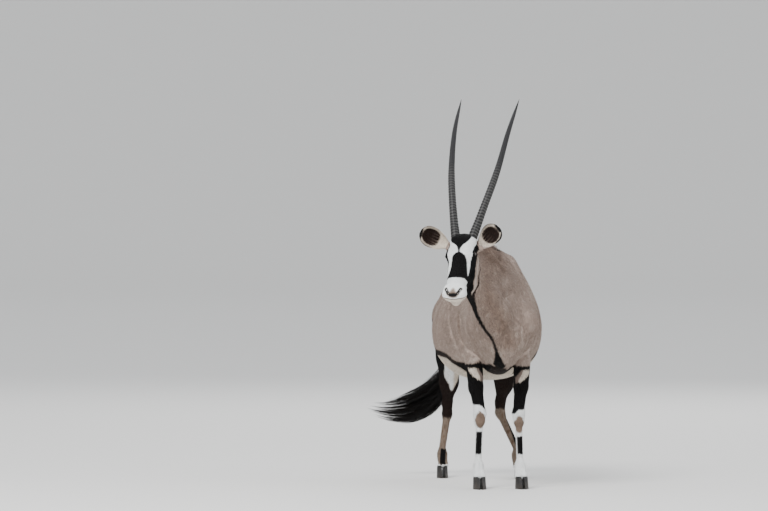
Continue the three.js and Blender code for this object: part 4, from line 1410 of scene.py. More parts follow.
    def foot_colour(self, points: Array, colours: Array) -> Array:
        """Dark dewclaws."""
        for leg in LEGS:
            fetlock, size = leg.ankle(), leg.foot_size
            for half in SIDES:
                start = fetlock + (half * 15 * size, 25, -30)
                claw = Rod(start, fetlock + (half * 16 * size, 34, -40), 8.0, 8.0)
                close = claw.near(points, 10)
                cover = ramp(claw.distance(points[close]), 2.0, -0.5)
                colours[close] = self.over(colours[close], ("pad", cover))
        return colours

    def at(self, points: Array, regions: Array) -> Array:
        """Colours, as shown on a screen, at places in their regions.

        Args:
            points: places in millimetres.
            regions: their places in REGIONS.

        Returns:
            Red, green and blue from 0 to 1.
        """
        ragged = speckle(points, 9.0, 1) * 0.6 + speckle(points, 4.0, 2) * 0.5
        broad = speckle(points * (1, 0.6, 0.35), 60.0, 3)
        streaks = speckle(points * (1, 1, 0.16), 13.0, 4)
        colours = np.tile(self.tone("fawn"), (len(points), 1))
        colours = self.over(colours, ("grey", np.clip(0.35 - broad * 0.5, 0, 1) * 0.6))
        low = ramp(points[:, 2], 760, 640) * 0.25
        under = ramp(through(FLANK_HEIGHT, points[:, 1])[:, 0] - points[:, 2], 0, 14)
        under *= ramp(points[:, 1], 215, 260) * ramp(points[:, 1], 900, 800)
        colours = self.over(
            colours,
            ("light", ramp(streaks, 0.1, 0.8) * 0.42 + low),
            ("belly", under),
        )
        for brush in self.brushes:
            colours = self.over(colours, (brush.colour, brush.cover(points, ragged)))
        haunch = (points[:, 1] > 690) & (points[:, 2] > 600) & (points[:, 2] < 900)
        haunch &= regions == Region.TRUNK.number
        beyond = points[:, 0] > self.anatomy.rump_swing
        for region, leg in LIMBS.items():
            picked = regions == region.number
            paint = self.foreleg_colour
            if isinstance(leg, Hindleg):
                picked |= haunch & (beyond == (leg.side == LEFT))
                paint = self.hindleg_colour
            if picked.any():
                colours[picked] = paint(points[picked], leg.side, colours[picked], ragged[picked])
        head = (regions == Region.HEAD.number) | (regions == Region.NECK.number)
        close = head & (np.linalg.norm(points - HEAD.point(120, 0, -80), axis=1) < self.face_reach)
        if close.any():
            colours[close] = self.face_colour(points[close], colours[close], ragged[close])
        return np.clip(colours, 0, 1)


class Placement:
    """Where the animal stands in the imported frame."""

    def __init__(self) -> None:
        """Finds the shift from the left eye's packed place."""
        low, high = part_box("eye_left")
        packed = (np.array(low) + np.array(high)) / 2
        self.shift = packed - HEAD.eye_at(LEFT) / 1000

    def metres(self, points: Array) -> Array:
        """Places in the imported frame."""
        return points / 1000 + self.shift


PLACE = Placement()


def placed(name: str, data: bpy.types.ID) -> bpy.types.Object:
    """A new object in the scene."""
    made = bpy.data.objects.new(name, data)
    bpy.context.scene.collection.objects.link(made)
    return made


def aimed(made: bpy.types.Object, place: Vector, way: Vector) -> None:
    """Puts a camera or a lamp at a place, so that it looks along a way."""
    made.location = place
    made.rotation_mode = "QUATERNION"
    made.rotation_quaternion = way.to_track_quat("-Z", "Y")


def new_mesh(
    name: str,
    points: Array,
    faces: Array,
    colours: Array | None = None,
    corners: Array | None = None,
) -> bpy.types.Object:
    """A mesh object at the world's origin from points in millimetres.

    Args:
        name: the piece's name.
        points: its points.
        faces: rows of three or four indices.
        colours: screen colours of the points, if it has them.
        corners: places on the bake map, one for each corner, if it has them.

    Returns:
        The object.
    """
    mesh = bpy.data.meshes.new(name)
    sides = faces.shape[1]
    mesh.vertices.add(len(points))
    mesh.vertices.foreach_set("co", PLACE.metres(points).astype(np.float32).ravel())
    mesh.loops.add(faces.size)
    mesh.loops.foreach_set("vertex_index", faces.astype(np.int32).ravel())
    mesh.polygons.add(len(faces))
    mesh.polygons.foreach_set("loop_start", np.arange(0, faces.size, sides, dtype=np.int32))
    mesh.polygons.foreach_set("use_smooth", np.ones(len(faces), bool))
    mesh.update(calc_edges=True)
    if colours is not None:
        shown = np.ones((len(points), 4), np.float32)
        shown[:, :3] = linear(colours)
        mesh.color_attributes.new(COLOUR, "FLOAT_COLOR", "POINT").data.foreach_set("color", shown.ravel())
    if corners is not None:
        mesh.uv_layers.new(name=BAKE_MAP).data.foreach_set("uv", corners.astype(np.float32).ravel())
    return placed(name, mesh)


def grid_faces(rows: int, columns: int, closed: bool = True) -> Array:
    """Four-cornered faces of a grid of points, row by row.

    Args:
        rows: how many rows of points.
        columns: how many points in a row.
        closed: whether the last column joins the first.

    Returns:
        Rows of four indices.
    """
    last = columns if closed else columns - 1
    i, j = np.meshgrid(np.arange(rows - 1), np.arange(last), indexing="ij")
    i, j = i.ravel(), j.ravel()
    k = (j + 1) % columns
    return np.stack([i * columns + j, i * columns + k, (i + 1) * columns + k, (i + 1) * columns + j], 1)


def halved(quads: Array) -> Array:
    """Four-cornered faces cut into triangles."""
    return np.concatenate([quads[:, [0, 1, 2]], quads[:, [0, 2, 3]]])


def closed_tube(rings: Array) -> tuple[Array, Array]:
    """A closed body from rings of points, with a fan over each end.

    Args:
        rings: rows of rings of points.

    Returns:
        Points, and faces as triangles.
    """
    rows, columns, _ = rings.shape
    points = np.vstack([rings.reshape(-1, 3), rings[0].mean(0), rings[-1].mean(0)])
    j = np.arange(columns)
    k = (j + 1) % columns
    first = np.stack([k, j, np.full(columns, rows * columns)], 1)
    base = (rows - 1) * columns
    last = np.stack([base + j, base + k, np.full(columns, rows * columns + 1)], 1)
    faces = np.concatenate([halved(grid_faces(rows, columns)), first, last])
    return points, outwards(points, faces)


def outwards(points: Array, faces: Array) -> Array:
    """Faces turned so that they point out of the closed body, judged by its volume."""
    a, b, c = corners_of(points, faces)
    volume = np.sum(np.cross(a, b) * c)
    return faces if volume > 0 else faces[:, ::-1]


def finish_piece(piece: bpy.types.Object, material: bpy.types.Material, nodes: list[str]) -> None:
    """Gives a piece its material and body, and hides the solids that it stands for.

    Args:
        piece: the object.
        material: its material.
        nodes: the solids that it replaces.
    """
    piece.data.materials.append(material)
    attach(piece, ROOT)
    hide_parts(*nodes)
    faces = sum(len(p.vertices) - 2 for p in piece.data.polygons)
    log.info("%s: %d triangles", piece.name, faces)


@dataclass(frozen=True)
class Finish:
    """A surface that takes its colour from the piece's own attribute, shaded and roughened by a grain."""

    name: str
    roughness: float
    scale: float
    stretch: Point = (1.0, 1.0, 1.0)
    dark: float = 0.78
    light: float = 1.18
    bump: float = 0.2
    depth: float = 0.0012
    uneven: float = 0.0
    specular: float = 0.5
    varnish: float = 0.0

    def build(self) -> bpy.types.Material:
        """Makes the material: the attribute's colour times the grain, which roughens and lifts it too.

        Returns:
            The material.
        """
        made = bpy.data.materials.new(self.name)
        made.use_nodes = True
        nodes, links = made.node_tree.nodes, made.node_tree.links
        shader = nodes["Principled BSDF"]
        colour = nodes.new("ShaderNodeAttribute")
        colour.attribute_name = COLOUR
        place = nodes.new("ShaderNodeTexCoord")
        mapping = nodes.new("ShaderNodeMapping")
        mapping.inputs["Scale"].default_value = self.stretch
        grain = nodes.new("ShaderNodeTexNoise")
        grain.inputs["Scale"].default_value = self.scale
        grain.inputs["Detail"].default_value = 3.0
        links.new(place.outputs["Object"], mapping.inputs["Vector"])
        links.new(mapping.outputs["Vector"], grain.inputs["Vector"])

        def spread(low: float, high: float) -> bpy.types.NodeSocket:
            """The grain spread between two values."""
            node = nodes.new("ShaderNodeMapRange")
            node.inputs["To Min"].default_value = low
            node.inputs["To Max"].default_value = high
            links.new(grain.outputs["Fac"], node.inputs["Value"])
            return node.outputs["Result"]

        tint = nodes.new("ShaderNodeVectorMath")
        tint.operation = "SCALE"
        links.new(colour.outputs["Color"], tint.inputs[0])
        links.new(spread(self.dark, self.light), tint.inputs["Scale"])
        links.new(tint.outputs["Vector"], shader.inputs["Base Color"])
        shader.inputs["Roughness"].default_value = self.roughness
        if self.uneven:
            rough = spread(self.roughness - self.uneven, self.roughness + self.uneven)
            links.new(rough, shader.inputs["Roughness"])
        if self.bump:
            bump = nodes.new("ShaderNodeBump")
            bump.inputs["Strength"].default_value = self.bump
            bump.inputs["Distance"].default_value = self.depth
            links.new(grain.outputs["Fac"], bump.inputs["Height"])
            links.new(bump.outputs["Normal"], shader.inputs["Normal"])
        shader.inputs["Specular IOR Level"].default_value = self.specular
        shader.inputs["Coat Weight"].default_value = self.varnish
        shader.inputs["Coat Roughness"].default_value = 0.02
        return made


SKIN = Finish("Skin", 0.8, 420.0, bump=0.35, specular=0.1)
SHORT_HAIR = Finish("Short_hair", 0.66, 300.0, bump=0.12, specular=0.14)
MANE_HAIR = Finish("Mane_hair", 0.6, 420.0, bump=0.1, specular=0.14)
TAIL_HAIR = Finish("Tail_hair", 0.42, 420.0, bump=0.08, specular=0.35)
ALONG = (1.0, 1.0, 0.25)  # draws the grain out upwards
HORN = Finish(
    "Horn", 0.42, 240.0, ALONG, dark=0.7, light=1.35, bump=0.5, depth=0.0006, uneven=0.12, specular=0.3
)
HOOF = Finish("Hoof", 0.45, 160.0, ALONG, dark=0.7, light=1.35, bump=0.5, depth=0.0008, uneven=0.12)
WET_EYE = Finish("Eye", 0.06, 700.0, dark=0.75, light=1.25, bump=0.0, varnish=1.0)


@dataclass
class Tufts:
    """Short hair in flat, pointed tufts that lie along the coat."""

    anatomy: Anatomy
    markings: Markings
    unwrap: Unwrap
    seed: int = 11
    most: int = 32000  # tufts in one piece
    quick_step: int = 6

    def lie(self, points: Array, regions: Array) -> Array:
        """The way the hair lies: from the nose over the head, back and down the body, down the legs.

        Args:
            points: roots.
            regions: their places in REGIONS.

        Returns:
            Arrows, not yet laid in the surface.
        """
        x, y, _ = points.T
        _, l, _ = HEAD.local(points)
        count = len(points)
        face = -HEAD.down + 0.35 * np.sign(l)[:, None] * HEAD.left * ramp(np.abs(l), 10, 60)[:, None]
        neck = np.tile(vector(0.35, 0.62, -0.62), (count, 1))
        aside = 0.25 * np.sign(x) * ramp(np.abs(x), 20, 120)
        body = np.stack([aside, 0.9 * np.ones(count), -0.75 * ramp(np.abs(x), 30, 180)], -1)
        chest = np.tile(vector(0.05, 0.1, -1.0), (count, 1))
        body = mix(chest, body, ramp(y, -150, 60)[:, None])
        leg = np.tile(vector(0, 0.12, -1.0), (count, 1))
        way = body
        for names, arrows in (
            ((Region.NECK,), neck),
            ((Region.HEAD,), face),
            ((*LIMBS, Region.TAIL), leg),
        ):
            picked = np.isin(regions, [region.number for region in names])
            way = np.where(picked[:, None], arrows, way)
        return unit(way)

    def sizes(self, points: Array, regions: Array) -> tuple[Array, Array, Array]:
        """Length, width and area of skin for one tuft.

        Args:
            points: roots.
            regions: their places in REGIONS.

        Returns:
            Three arrays in millimetres, the last in square millimetres.
        """
        y, z = points[:, 1], points[:, 2]
        length, width, area = (np.full(len(points), value) for value in (20.0, 2.3, 27.0))
        belly = ramp(z, 640, 590) * ramp(y, 100, 180) * ramp(y, 900, 760)
        length += 8 * belly
        limbs = np.isin(regions, [region.number for region in LIMBS])
        low = ramp(z, 560, 420)
        length = np.where(limbs, mix(17.0, 10.5, low), length)
        width = np.where(limbs, mix(2.1, 1.7, low), width)
        area = np.where(limbs, mix(24.0, 17.0, low), area)
        feet = limbs & (z < 130)
        length, width = np.where(feet, 7.5, length), np.where(feet, 1.4, width)
        area = np.where(feet, 10.0, area)
        head = regions == Region.HEAD.number
        s, _, _ = HEAD.local(points)
        nose = ramp(s, 240, 330)
        length = np.where(head, mix(7.6, 4.2, nose), length)
        width = np.where(head, mix(1.25, 0.95, nose), width)
        area = np.where(head, mix(7.8, 5.8, nose), area)
        return length, width, area

    def bare(self, points: Array) -> Array:
        """Which places carry no hair: eyes, nostrils, the nose pad and what the hooves hide."""
        hidden = points[:, 2] < 58
        for side in SIDES:
            x, y, z = HEAD.about_eye(points, side)
            ring = np.sqrt((x / 20) ** 2 + (y / 12.5) ** 2)
            hidden |= (ring < 1) & (z > 4)
        local = np.stack(HEAD.local(points), -1)
        for slit in NOSTRILS.values():
            hidden |= slit.distance(local) < 3.2
        return hidden | (chain_distance(NOSE_PAD, local, 5) < -0.5)

    def scatter(self, points: Array, faces: Array, normals: Array) -> list[tuple[str, Array, Array]]:
        """Roots over the whole skin, drawn face by face so that they lie evenly.

        Args:
            points: the skin's points.
            faces: its faces.
            normals: normals at the points.

        Returns:
            For each region its name, roots and normals.
        """
        draw = np.random.default_rng(self.seed)
        a, b, c = corners_of(points, faces)
        middles = (a + b + c) / 3
        regions = self.unwrap.regions(middles)
        _, _, area = self.sizes(middles, regions)
        expected = np.linalg.norm(np.cross(b - a, c - a), axis=1) / 2 / area
        count = np.floor(expected + draw.random(len(faces))).astype(int)
        picked = np.repeat(np.arange(len(faces)), count)
        u, v = draw.random((2, len(picked)))
        over = u + v > 1
        u, v = np.where(over, 1 - u, u)[:, None], np.where(over, 1 - v, v)[:, None]
        roots = a[picked] * (1 - u - v) + b[picked] * u + c[picked] * v
        ends = [normals[faces[picked, k]] for k in range(3)]
        ways = unit(ends[0] * (1 - u - v) + ends[1] * u + ends[2] * v)
        keep = ~self.bare(roots)
        roots, ways, regions = roots[keep], ways[keep], regions[picked][keep]
        found = []
        for number, region in enumerate(REGIONS):
            mine = regions == number
            if mine.any():
                found.append((region.name.lower(), roots[mine], ways[mine]))
        return found

    def grow(self, name: str, roots: Array, normals: Array, draw: np.random.Generator) -> bpy.types.Object:
        """One piece of tufts: each a flat leaf with a root, two sides, a ridge and a tip.

        Args:
            name: the piece's name.
            roots: where they grow.
            normals: the skin's normals there.
            draw: the random draw.

        Returns:
            The object.
        """
        count = len(roots)
        regions = self.unwrap.regions(roots)
        length, width, _ = self.sizes(roots, regions)
        length = length * draw.uniform(0.72, 1.18, count)
        width = width * draw.uniform(0.8, 1.25, count)
        way = across_to(self.lie(roots, regions) + draw.normal(0, 0.09, (count, 3)), normals)
        side = np.cross(normals, way)
        lift = length * draw.uniform(0.07, 0.17, count)
        half, sink = (width / 2)[:, None], 0.9
        start = roots - normals * sink
        middle = roots + way * (length * 0.42)[:, None] + normals * (lift * 0.55)[:, None]
        stray = (draw.normal(0, 0.05, count) * length)[:, None]
        tip = roots + way * length[:, None] + normals * lift[:, None] + side * stray
        ridge = middle + normals * (half * 0.55)
        points = np.stack([start, middle + side * half, middle - side * half, ridge, tip], 1).reshape(-1, 3)
        shape = np.array([[0, 3, 1], [0, 2, 3], [0, 1, 2], [4, 1, 3], [4, 3, 2], [4, 2, 1]])
        faces = (shape[None] + 5 * np.arange(count)[:, None, None]).reshape(-1, 3)
        faces = outwards(points - points.mean(0), faces)
        colours = self.markings.at(roots + way * (length * 0.4)[:, None], regions)
        tone = 1 + draw.normal(0, 0.07, count)
        shades = np.array([0.80, 0.97, 0.97, 1.02, 1.10])
        shown = colours[:, None] * tone[:, None, None] * shades[None, :, None]
        places = self.unwrap.roots(roots)
        patch = np.array([[0, -1], [-0.8, 0.1], [0.8, 0.1], [0.15, 0.0], [0, 1]]) * PATCH
        flat = (places[:, None] + patch[None]).reshape(-1, 2)
        return new_mesh(name, points, faces, np.clip(shown, 0, 1).reshape(-1, 3), flat[faces.ravel()])


@dataclass
class Strands:
    """Long hair: locks of three sides that follow a path and end in a point."""

    unwrap: Unwrap

    def build(
        self,
        name: str,
        paths: Array,
        widths: Array,
        sides: Array,
        colours: Array,
        tip: float = 1.15,
    ) -> bpy.types.Object:
        """Joins locks into one piece.

        At each stop a lock has a flat three-cornered section, wide across and thin above, and the last stop
        is its tip.

        Args:
            name: the piece's name.
            paths: stops of each lock, root first.
            widths: width at each stop but the last.
            sides: the way across each lock.
            colours: screen colour of each lock.
            tip: how much lighter the tip is.

        Returns:
            The object.
        """
        count, stops, _ = paths.shape
        ways = unit(np.gradient(paths, axis=1))
        across = across_to(sides[:, None], ways)
        up = np.cross(ways, across)
        half = widths[:, :, None] / 2
        body = paths[:, :-1]
        wide, thin = across[:, :-1] * half, up[:, :-1] * half * 0.5
        rings = np.stack([body + wide, body + thin, body - wide], 2)
        points = np.concatenate([rings.reshape(count, -1, 3), paths[:, -1:]], 1)
        each = 3 * (stops - 1) + 1
        shape = [[2, 1, 0]]
        for i in range(stops - 2):
            for j in range(3):
                a, b = 3 * i + j, 3 * i + (j + 1) % 3
                shape += [[a, b, b + 3], [a, b + 3, a + 3]]
        base = 3 * (stops - 2)
        shape += [[base + j, base + (j + 1) % 3, each - 1] for j in range(3)]
        faces = (np.array(shape)[None] + each * np.arange(count)[:, None, None]).reshape(-1, 3)
        flat_points = points.reshape(-1, 3)
        faces = outwards(flat_points - flat_points.mean(0), faces)
        share = np.append(np.repeat(np.arange(stops - 1), 3), stops - 1) / (stops - 1)
        shades = mix(0.85, tip, share)
        shown = colours[:, None] * shades[None, :, None]
        places = self.unwrap.roots(paths[:, 0])
        turn = np.arange(each)
        patch = np.stack([np.cos(turn * 2.4), np.sin(turn * 2.4)], -1) * PATCH
        patch = patch * np.sqrt((turn + 1) / each)[:, None]
        flat = (places[:, None] + patch[None]).reshape(-1, 2)
        return new_mesh(name, flat_points, faces, np.clip(shown, 0, 1).reshape(-1, 3), flat[faces.ravel()])


@dataclass
class Ear:
    """A broad cupped leaf on a rolled stalk."""

    side: int
    way: Point
    opening: Point
    length: float
    root: Point
    rows: int = 64
    columns: int = 34

    def __post_init__(self) -> None:
        """Works out the ear's own frame."""
        self.along = unit(vector(*self.way))
        opening = vector(*self.opening)
        self.open = unit(opening - self.along * (opening @ self.along))
        self.across = np.cross(self.along, self.open)
        self.base = HEAD.point(*self.root)

    def roll(self, share: Array) -> tuple[Array, Array, Array]:
        """Radius, half angle and wall of the roll at shares of the length."""
        rows = [
            (0, 15, 150), (0.14, 21, 128), (0.3, 37, 94), (0.5, 49, 72), (0.7, 52, 60), (0.86, 43, 52),
            (0.96, 26, 44), (1, 12, 40),
        ]
        half, angle = through(rows, share).T
        turn = np.radians(angle)
        radius = half / np.maximum(np.sin(np.minimum(turn, math.pi / 2)), 0.2)
        return radius, turn, mix(3.0, 1.4, share)

    def surface(self, share: Array, angle: Array, depth: Array) -> Array:
        """Places on the ear: a share of the length, a share of the roll's angle and a depth in the wall.

        Args:
            share: from 0 at the root to 1 at the tip.
            angle: from -1 to 1 across the leaf.
            depth: 0 on the back, 1 inside the cup.

        Returns:
            Points.
        """
        radius, turn, wall = self.roll(share)
        bent = radius * np.cos(turn) - 14 * share**2
        centre = self.base + self.along * (self.length * share)[:, None] + self.open * bent[:, None]
        thin = 1 - 0.55 * np.abs(angle) ** 3
        r = radius + wall * 0.4 - depth * wall * 1.25 * thin
        ripple = 0.8 * np.sin(angle * 9 + share * 5) * depth * ramp(share, 0.2, 0.5)
        a, r = angle * turn, r + ripple
        return centre - (r * np.cos(a))[:, None] * self.open + (r * np.sin(a))[:, None] * self.across

    def mesh(self) -> tuple[Array, Array]:
        """The leaf as a closed body: up its back and down the inside of its cup.

        Returns:
            Points and faces.
        """
        share = np.linspace(0, 1, self.rows)
        angle = np.linspace(-1, 1, self.columns)
        s, a = (grid.ravel() for grid in np.meshgrid(share, angle, indexing="ij"))
        back = self.surface(s, a, np.zeros(len(s))).reshape(self.rows, self.columns, 3)
        cup = self.surface(s, a, np.ones(len(s))).reshape(self.rows, self.columns, 3)
        rings = np.concatenate([back, cup[:, ::-1]], 1)
        return closed_tube(rings)

    def local(self, points: Array) -> tuple[Array, Array, Array]:
        """Share of length, share of the roll's angle and height over the middle of the wall."""
        off = points - self.base
        share = off @ self.along / self.length
        held = np.clip(share, 0, 1)
        radius, turn, _ = self.roll(held)
        x = off @ self.across
        y = off @ self.open + 14 * held**2 - radius * np.cos(turn)
        return share, np.arctan2(x, -y) / turn, np.hypot(x, y) - radius

    def colour(self, points: Array, inside: Array, markings: Markings) -> Array:
        """Pale fawn with a black rim and tip outside; within, a white rim round painted shade in the cup's
        hollow.

        Args:
            points: places on the ear.
            inside: 1 in the cup, 0 on the back.
            markings: the coat's colours.

        Returns:
            Colours.
        """
        share, angle, _ = self.local(points)
        ragged = speckle(points, 5.0, 8) * 0.6
        edge = np.abs(angle) + ragged * 0.06
        tone = markings.tone
        back = mix(tone("light"), tone("belly"), ramp(share, 0.2, 0.5)[:, None] * 0.4)
        rim = ramp(edge, 0.86, 0.95) * ramp(share, 0.4, 0.55)
        rim = np.maximum(rim, ramp(share + ragged * 0.03, 0.88, 0.93))
        back = mix(back, tone("black"), rim[:, None])
        # Painted shade: a dark oval in the hollow of the cup.
        oval = (np.abs(share - 0.655) / 0.27) ** 3 + (np.abs(angle) / 0.76) ** 3 + ragged * 0.25
        cup_shade = ramp(oval, 1.2, 0.6)
        sooty = ramp(edge, 0.72, 0.95) * ramp(share, 0.4, 0.6) * 0.55
        cup = mix(tone("belly"), tone("hock"), sooty[:, None])
        cup = mix(cup, tone("dark"), cup_shade[:, None])
        streak = ramp(np.abs(np.sin(angle * 13 + ragged)), 0.75, 0.98) * ramp(share, 0.75, 0.4) * 0.35
        cup = mix(cup, tone("light"), (cup_shade * streak)[:, None])
        outer = ramp(angle * self.side + ragged * 0.05, 0.80, 0.93) * ramp(share, 0.42, 0.56)
        outer = outer * (self.side == LEFT)
        tip = np.maximum(ramp(share + ragged * 0.03 + 0.05 * self.side * angle, 0.9, 0.95), outer)
        return mix(back, mix(cup, tone("black"), tip[:, None]), inside[:, None])


EARS = {
    LEFT: Ear(LEFT, (0.68, 0.3, 0.7), (-0.2, -0.98, 0.0), 164.0, (2.0, 79.0, -78.0)),
    RIGHT: Ear(RIGHT, (-0.92, 0.12, 0.48), (-0.05, -0.98, -0.1), 172.0, (-3.0, -74.0, -78.0)),
}
NAMES = {LEFT: "left", RIGHT: "right"}
FLESH = [
    "head", "neck", "torso", "tail", "ear_left", "ear_right", "foreleg_left", "foreleg_right",
    "hindleg_left", "hindleg_right",
]


class Side(Enum):
    """Which sides of the body a crease lies on."""

    BOTH = (LEFT, RIGHT)
    LEFT_ONLY = (LEFT,)
    RIGHT_ONLY = (RIGHT,)


# The trunk's creases, and bumps with a depth below 0: sides, depth, width and stops
CREASES = [
    (Side.BOTH, 7, 28, [(198, 40, 862), (200, 56, 810), (195, 72, 759), (186, 50, 729), (173, 100, 681)]),
    (Side.BOTH, 6, 34, [(60, 60, 1190), (95, -10, 1080), (118, -70, 960), (130, -110, 850)]),
    (Side.BOTH, 5, 30, [
        (150, 230, 1080), (190, 215, 980), (215, 190, 900), (200, 160, 810), (190, 140, 740),
    ]),
    (Side.BOTH, 5, 20, [(-8, -180, 800), (-22, -175, 735), (-25, -150, 670)]),
    (Side.BOTH, 8, 38, [(132, 860, 1060), (175, 820, 960), (200, 780, 860), (195, 760, 740)]),
    (Side.BOTH, 5, 26, [(120, 1010, 960), (150, 1000, 880), (165, 985, 800), (160, 990, 680)]),
    (Side.BOTH, 8, 62, [(190, 700, 1010), (192, 720, 1005)]),
    (Side.BOTH, -6, 36, [(134, 825, 1085), (134, 838, 1085)]),
    (Side.BOTH, -5, 30, [(85, 1035, 1010), (85, 1045, 1010)]),
    (Side.BOTH, -5, 28, [(150, 112, 732), (150, 124, 728)]),
    (Side.LEFT_ONLY, 5, 26, [(-140, -330, 1080), (-100, -240, 960), (-40, -190, 860)]),
    (Side.RIGHT_ONLY, 5, 26, [(-235, -300, 1080), (-215, -200, 980), (-180, -140, 890)]),
    *[
        (Side.BOTH, 1.8, 18, [(205, y - 25, 1000), (235, y, 900), (240, y + 12, 800), (215, y + 20, 700)])
        for y in range(330, 660, 48)
    ],
]


@dataclass
class Body:
    """The skin and its short coat."""

    anatomy: Anatomy
    markings: Markings
    unwrap: Unwrap
    seed: int = 5

    def details(self, points: Array, normals: Array) -> Array:
        """Small forms pressed into the skin: lids, nostrils, lips and tear pits, and creases of the muscles.

        Args:
            points: the net's points.
            normals: their normals.

        Returns:
            New points.
        """
        s, l, n = HEAD.local(points)
        local = np.stack([s, l, n], -1)
        push = self.muscles(points)
        for side in SIDES:
            x, y, z = HEAD.about_eye(points, side)
            facing = ramp(z, 0, 10)
            gap = np.abs(y) - 10.8 * np.maximum(1 - (x / 19.5) ** 2, -1)
            push += facing * 2.6 * ramp(gap, 9, 3) * ramp(gap, -2.0, 1.6) * ramp(np.abs(x), 30, 18)
            push -= facing * 10.0 * ramp(gap, 0.6, -1.6) * ramp(np.abs(x), 21, 18)
            push -= facing * 1.3 * ramp(np.abs(gap - 9.5), 2.6, 0) * ramp(np.abs(x), 30, 16)
            depth = NOSTRILS[side].distance(local)
            push -= 9.0 * ramp(depth, 1.4, -2.4)
            push += 1.7 * ramp(np.abs(depth - 4.2), 4.0, 0) * ramp(s, 305, 325)
            pit = Rod(vector(112, side * 56, -52), vector(122, side * 52, -54), 4.0, 3.0)
            push -= 2.0 * ramp(pit.distance(local), 5, -3)
        mouth = np.abs(n - through(LIP_LINE, s)[:, 0])
        push -= 4.2 * ramp(mouth, 3.2, 0) * ramp(s, 286, 304)
        push += 1.2 * ramp(np.abs(mouth - 6.5), 4.5, 0) * ramp(s, 290, 312)
        cleft = ramp(np.abs(l), 2.4, 0) * ramp(s, 352, 362)
        push -= 1.6 * cleft * ramp(n, -44, -38) * ramp(n, -22, -28)
        return points + normals * push[:, None]

    def muscles(self, points: Array) -> Array:
        """How far shallow creases sink the trunk, and small bumps lift it.

        Args:
            points: places on the skin.

        Returns:
            Lifts along the normals.
        """
        push = np.zeros(len(points))
        for name, depth, width, rows in CREASES:
            for side in name.value:
                path = np.array(rows, float)
                turn = side if name is Side.BOTH else 1
                swing = self.anatomy.rump_swing * ramp(path[:, 1], 250, 800) * (side == LEFT)
                path[:, 0] = turn * path[:, 0] + swing * (name is Side.BOTH)
                path = np.column_stack([self.anatomy.settle(path, 10), np.zeros(len(path))])
                distance = chain_distance(path, points, width * 1.1)
                push -= depth * (1 - smooth(np.clip(distance / width, 0, 1)))
        return push

    def with_ears(self, points: Array, faces: Array) -> tuple[Array, Array]:
        """The skin joined with both ears into one closed surface.

        Args:
            points: the skin's points.
            faces: its faces.

        Returns:
            Points and faces of the joined surface.
        """
        body = new_mesh("join", points, faces)
        for ear in EARS.values():
            leaf = new_mesh("leaf", *ear.mesh())
            union = body.modifiers.new("ear", "BOOLEAN")
            union.operation = "UNION"
            union.solver = "MANIFOLD"
            union.object = leaf
        graph = bpy.context.evaluated_depsgraph_get()
        made = body.evaluated_get(graph).to_mesh()
        made.calc_loop_triangles()
        found = np.zeros(len(made.vertices) * 3, np.float32)
        made.vertices.foreach_get("co", found)
        corners = np.zeros(len(made.loop_triangles) * 3, np.int32)
        made.loop_triangles.foreach_get("vertices", corners)
        for item in [o for o in bpy.data.objects if o.name.startswith(("join", "leaf"))]:
            bpy.data.objects.remove(item)
        log.info("skin with ears: %d faces", len(corners) // 3)
        return (found.reshape(-1, 3) - PLACE.shift) * 1000, corners.reshape(-1, 3)

    def colours(self, points: Array) -> Array:
        """Colours of the skin's points, ears included."""
        regions = self.unwrap.regions(points)
        colours = self.markings.at(points, regions)
        for ear in EARS.values():
            share, angle, height = ear.local(points)
            _, _, wall = ear.roll(np.clip(share, 0, 1))
            on = (share > 0.12) & (share < 1.02) & (np.abs(angle) < 1.08) & (np.abs(height) < wall + 2)
            inside = ramp(height[on], 0.6, -0.6)
            colours[on] = ear.colour(points[on], inside, self.markings)
        return colours

    def build(self) -> None:
        """Makes the skin and the pieces of its short coat."""
        net = SkinNet(self.anatomy)
        points, faces = net.build()
        normals = point_normals(points, faces)
        shaped = self.details(points, normals)
        joined, joined_faces = self.with_ears(shaped, faces)
        corners = self.unwrap.corners(joined, joined_faces)
        skin = new_mesh("skin", joined, joined_faces, self.colours(joined), corners)
        finish_piece(skin, SKIN.build(), FLESH)
        tufts = Tufts(self.anatomy, self.markings, self.unwrap)
        hair = SHORT_HAIR.build()
        draw = np.random.default_rng(self.seed)
        fine_normals = point_normals(shaped, faces)
        for name, roots, ways in tufts.scatter(shaped, faces, fine_normals):
            for number, start in enumerate(range(0, len(roots), tufts.most)):
                chosen = slice(start, start + tufts.most)
                piece = tufts.grow(f"coat_{name}_{number + 1}", roots[chosen], ways[chosen], draw)
                finish_piece(piece, hair, self.covered(name))

    @staticmethod
    def covered(name: str) -> list[str]:
        """The solid that a region's coat stands for."""
        solid = name.replace("fore_", "foreleg_").replace("hind_", "hindleg_")
        return [solid if solid in FLESH else "torso"]


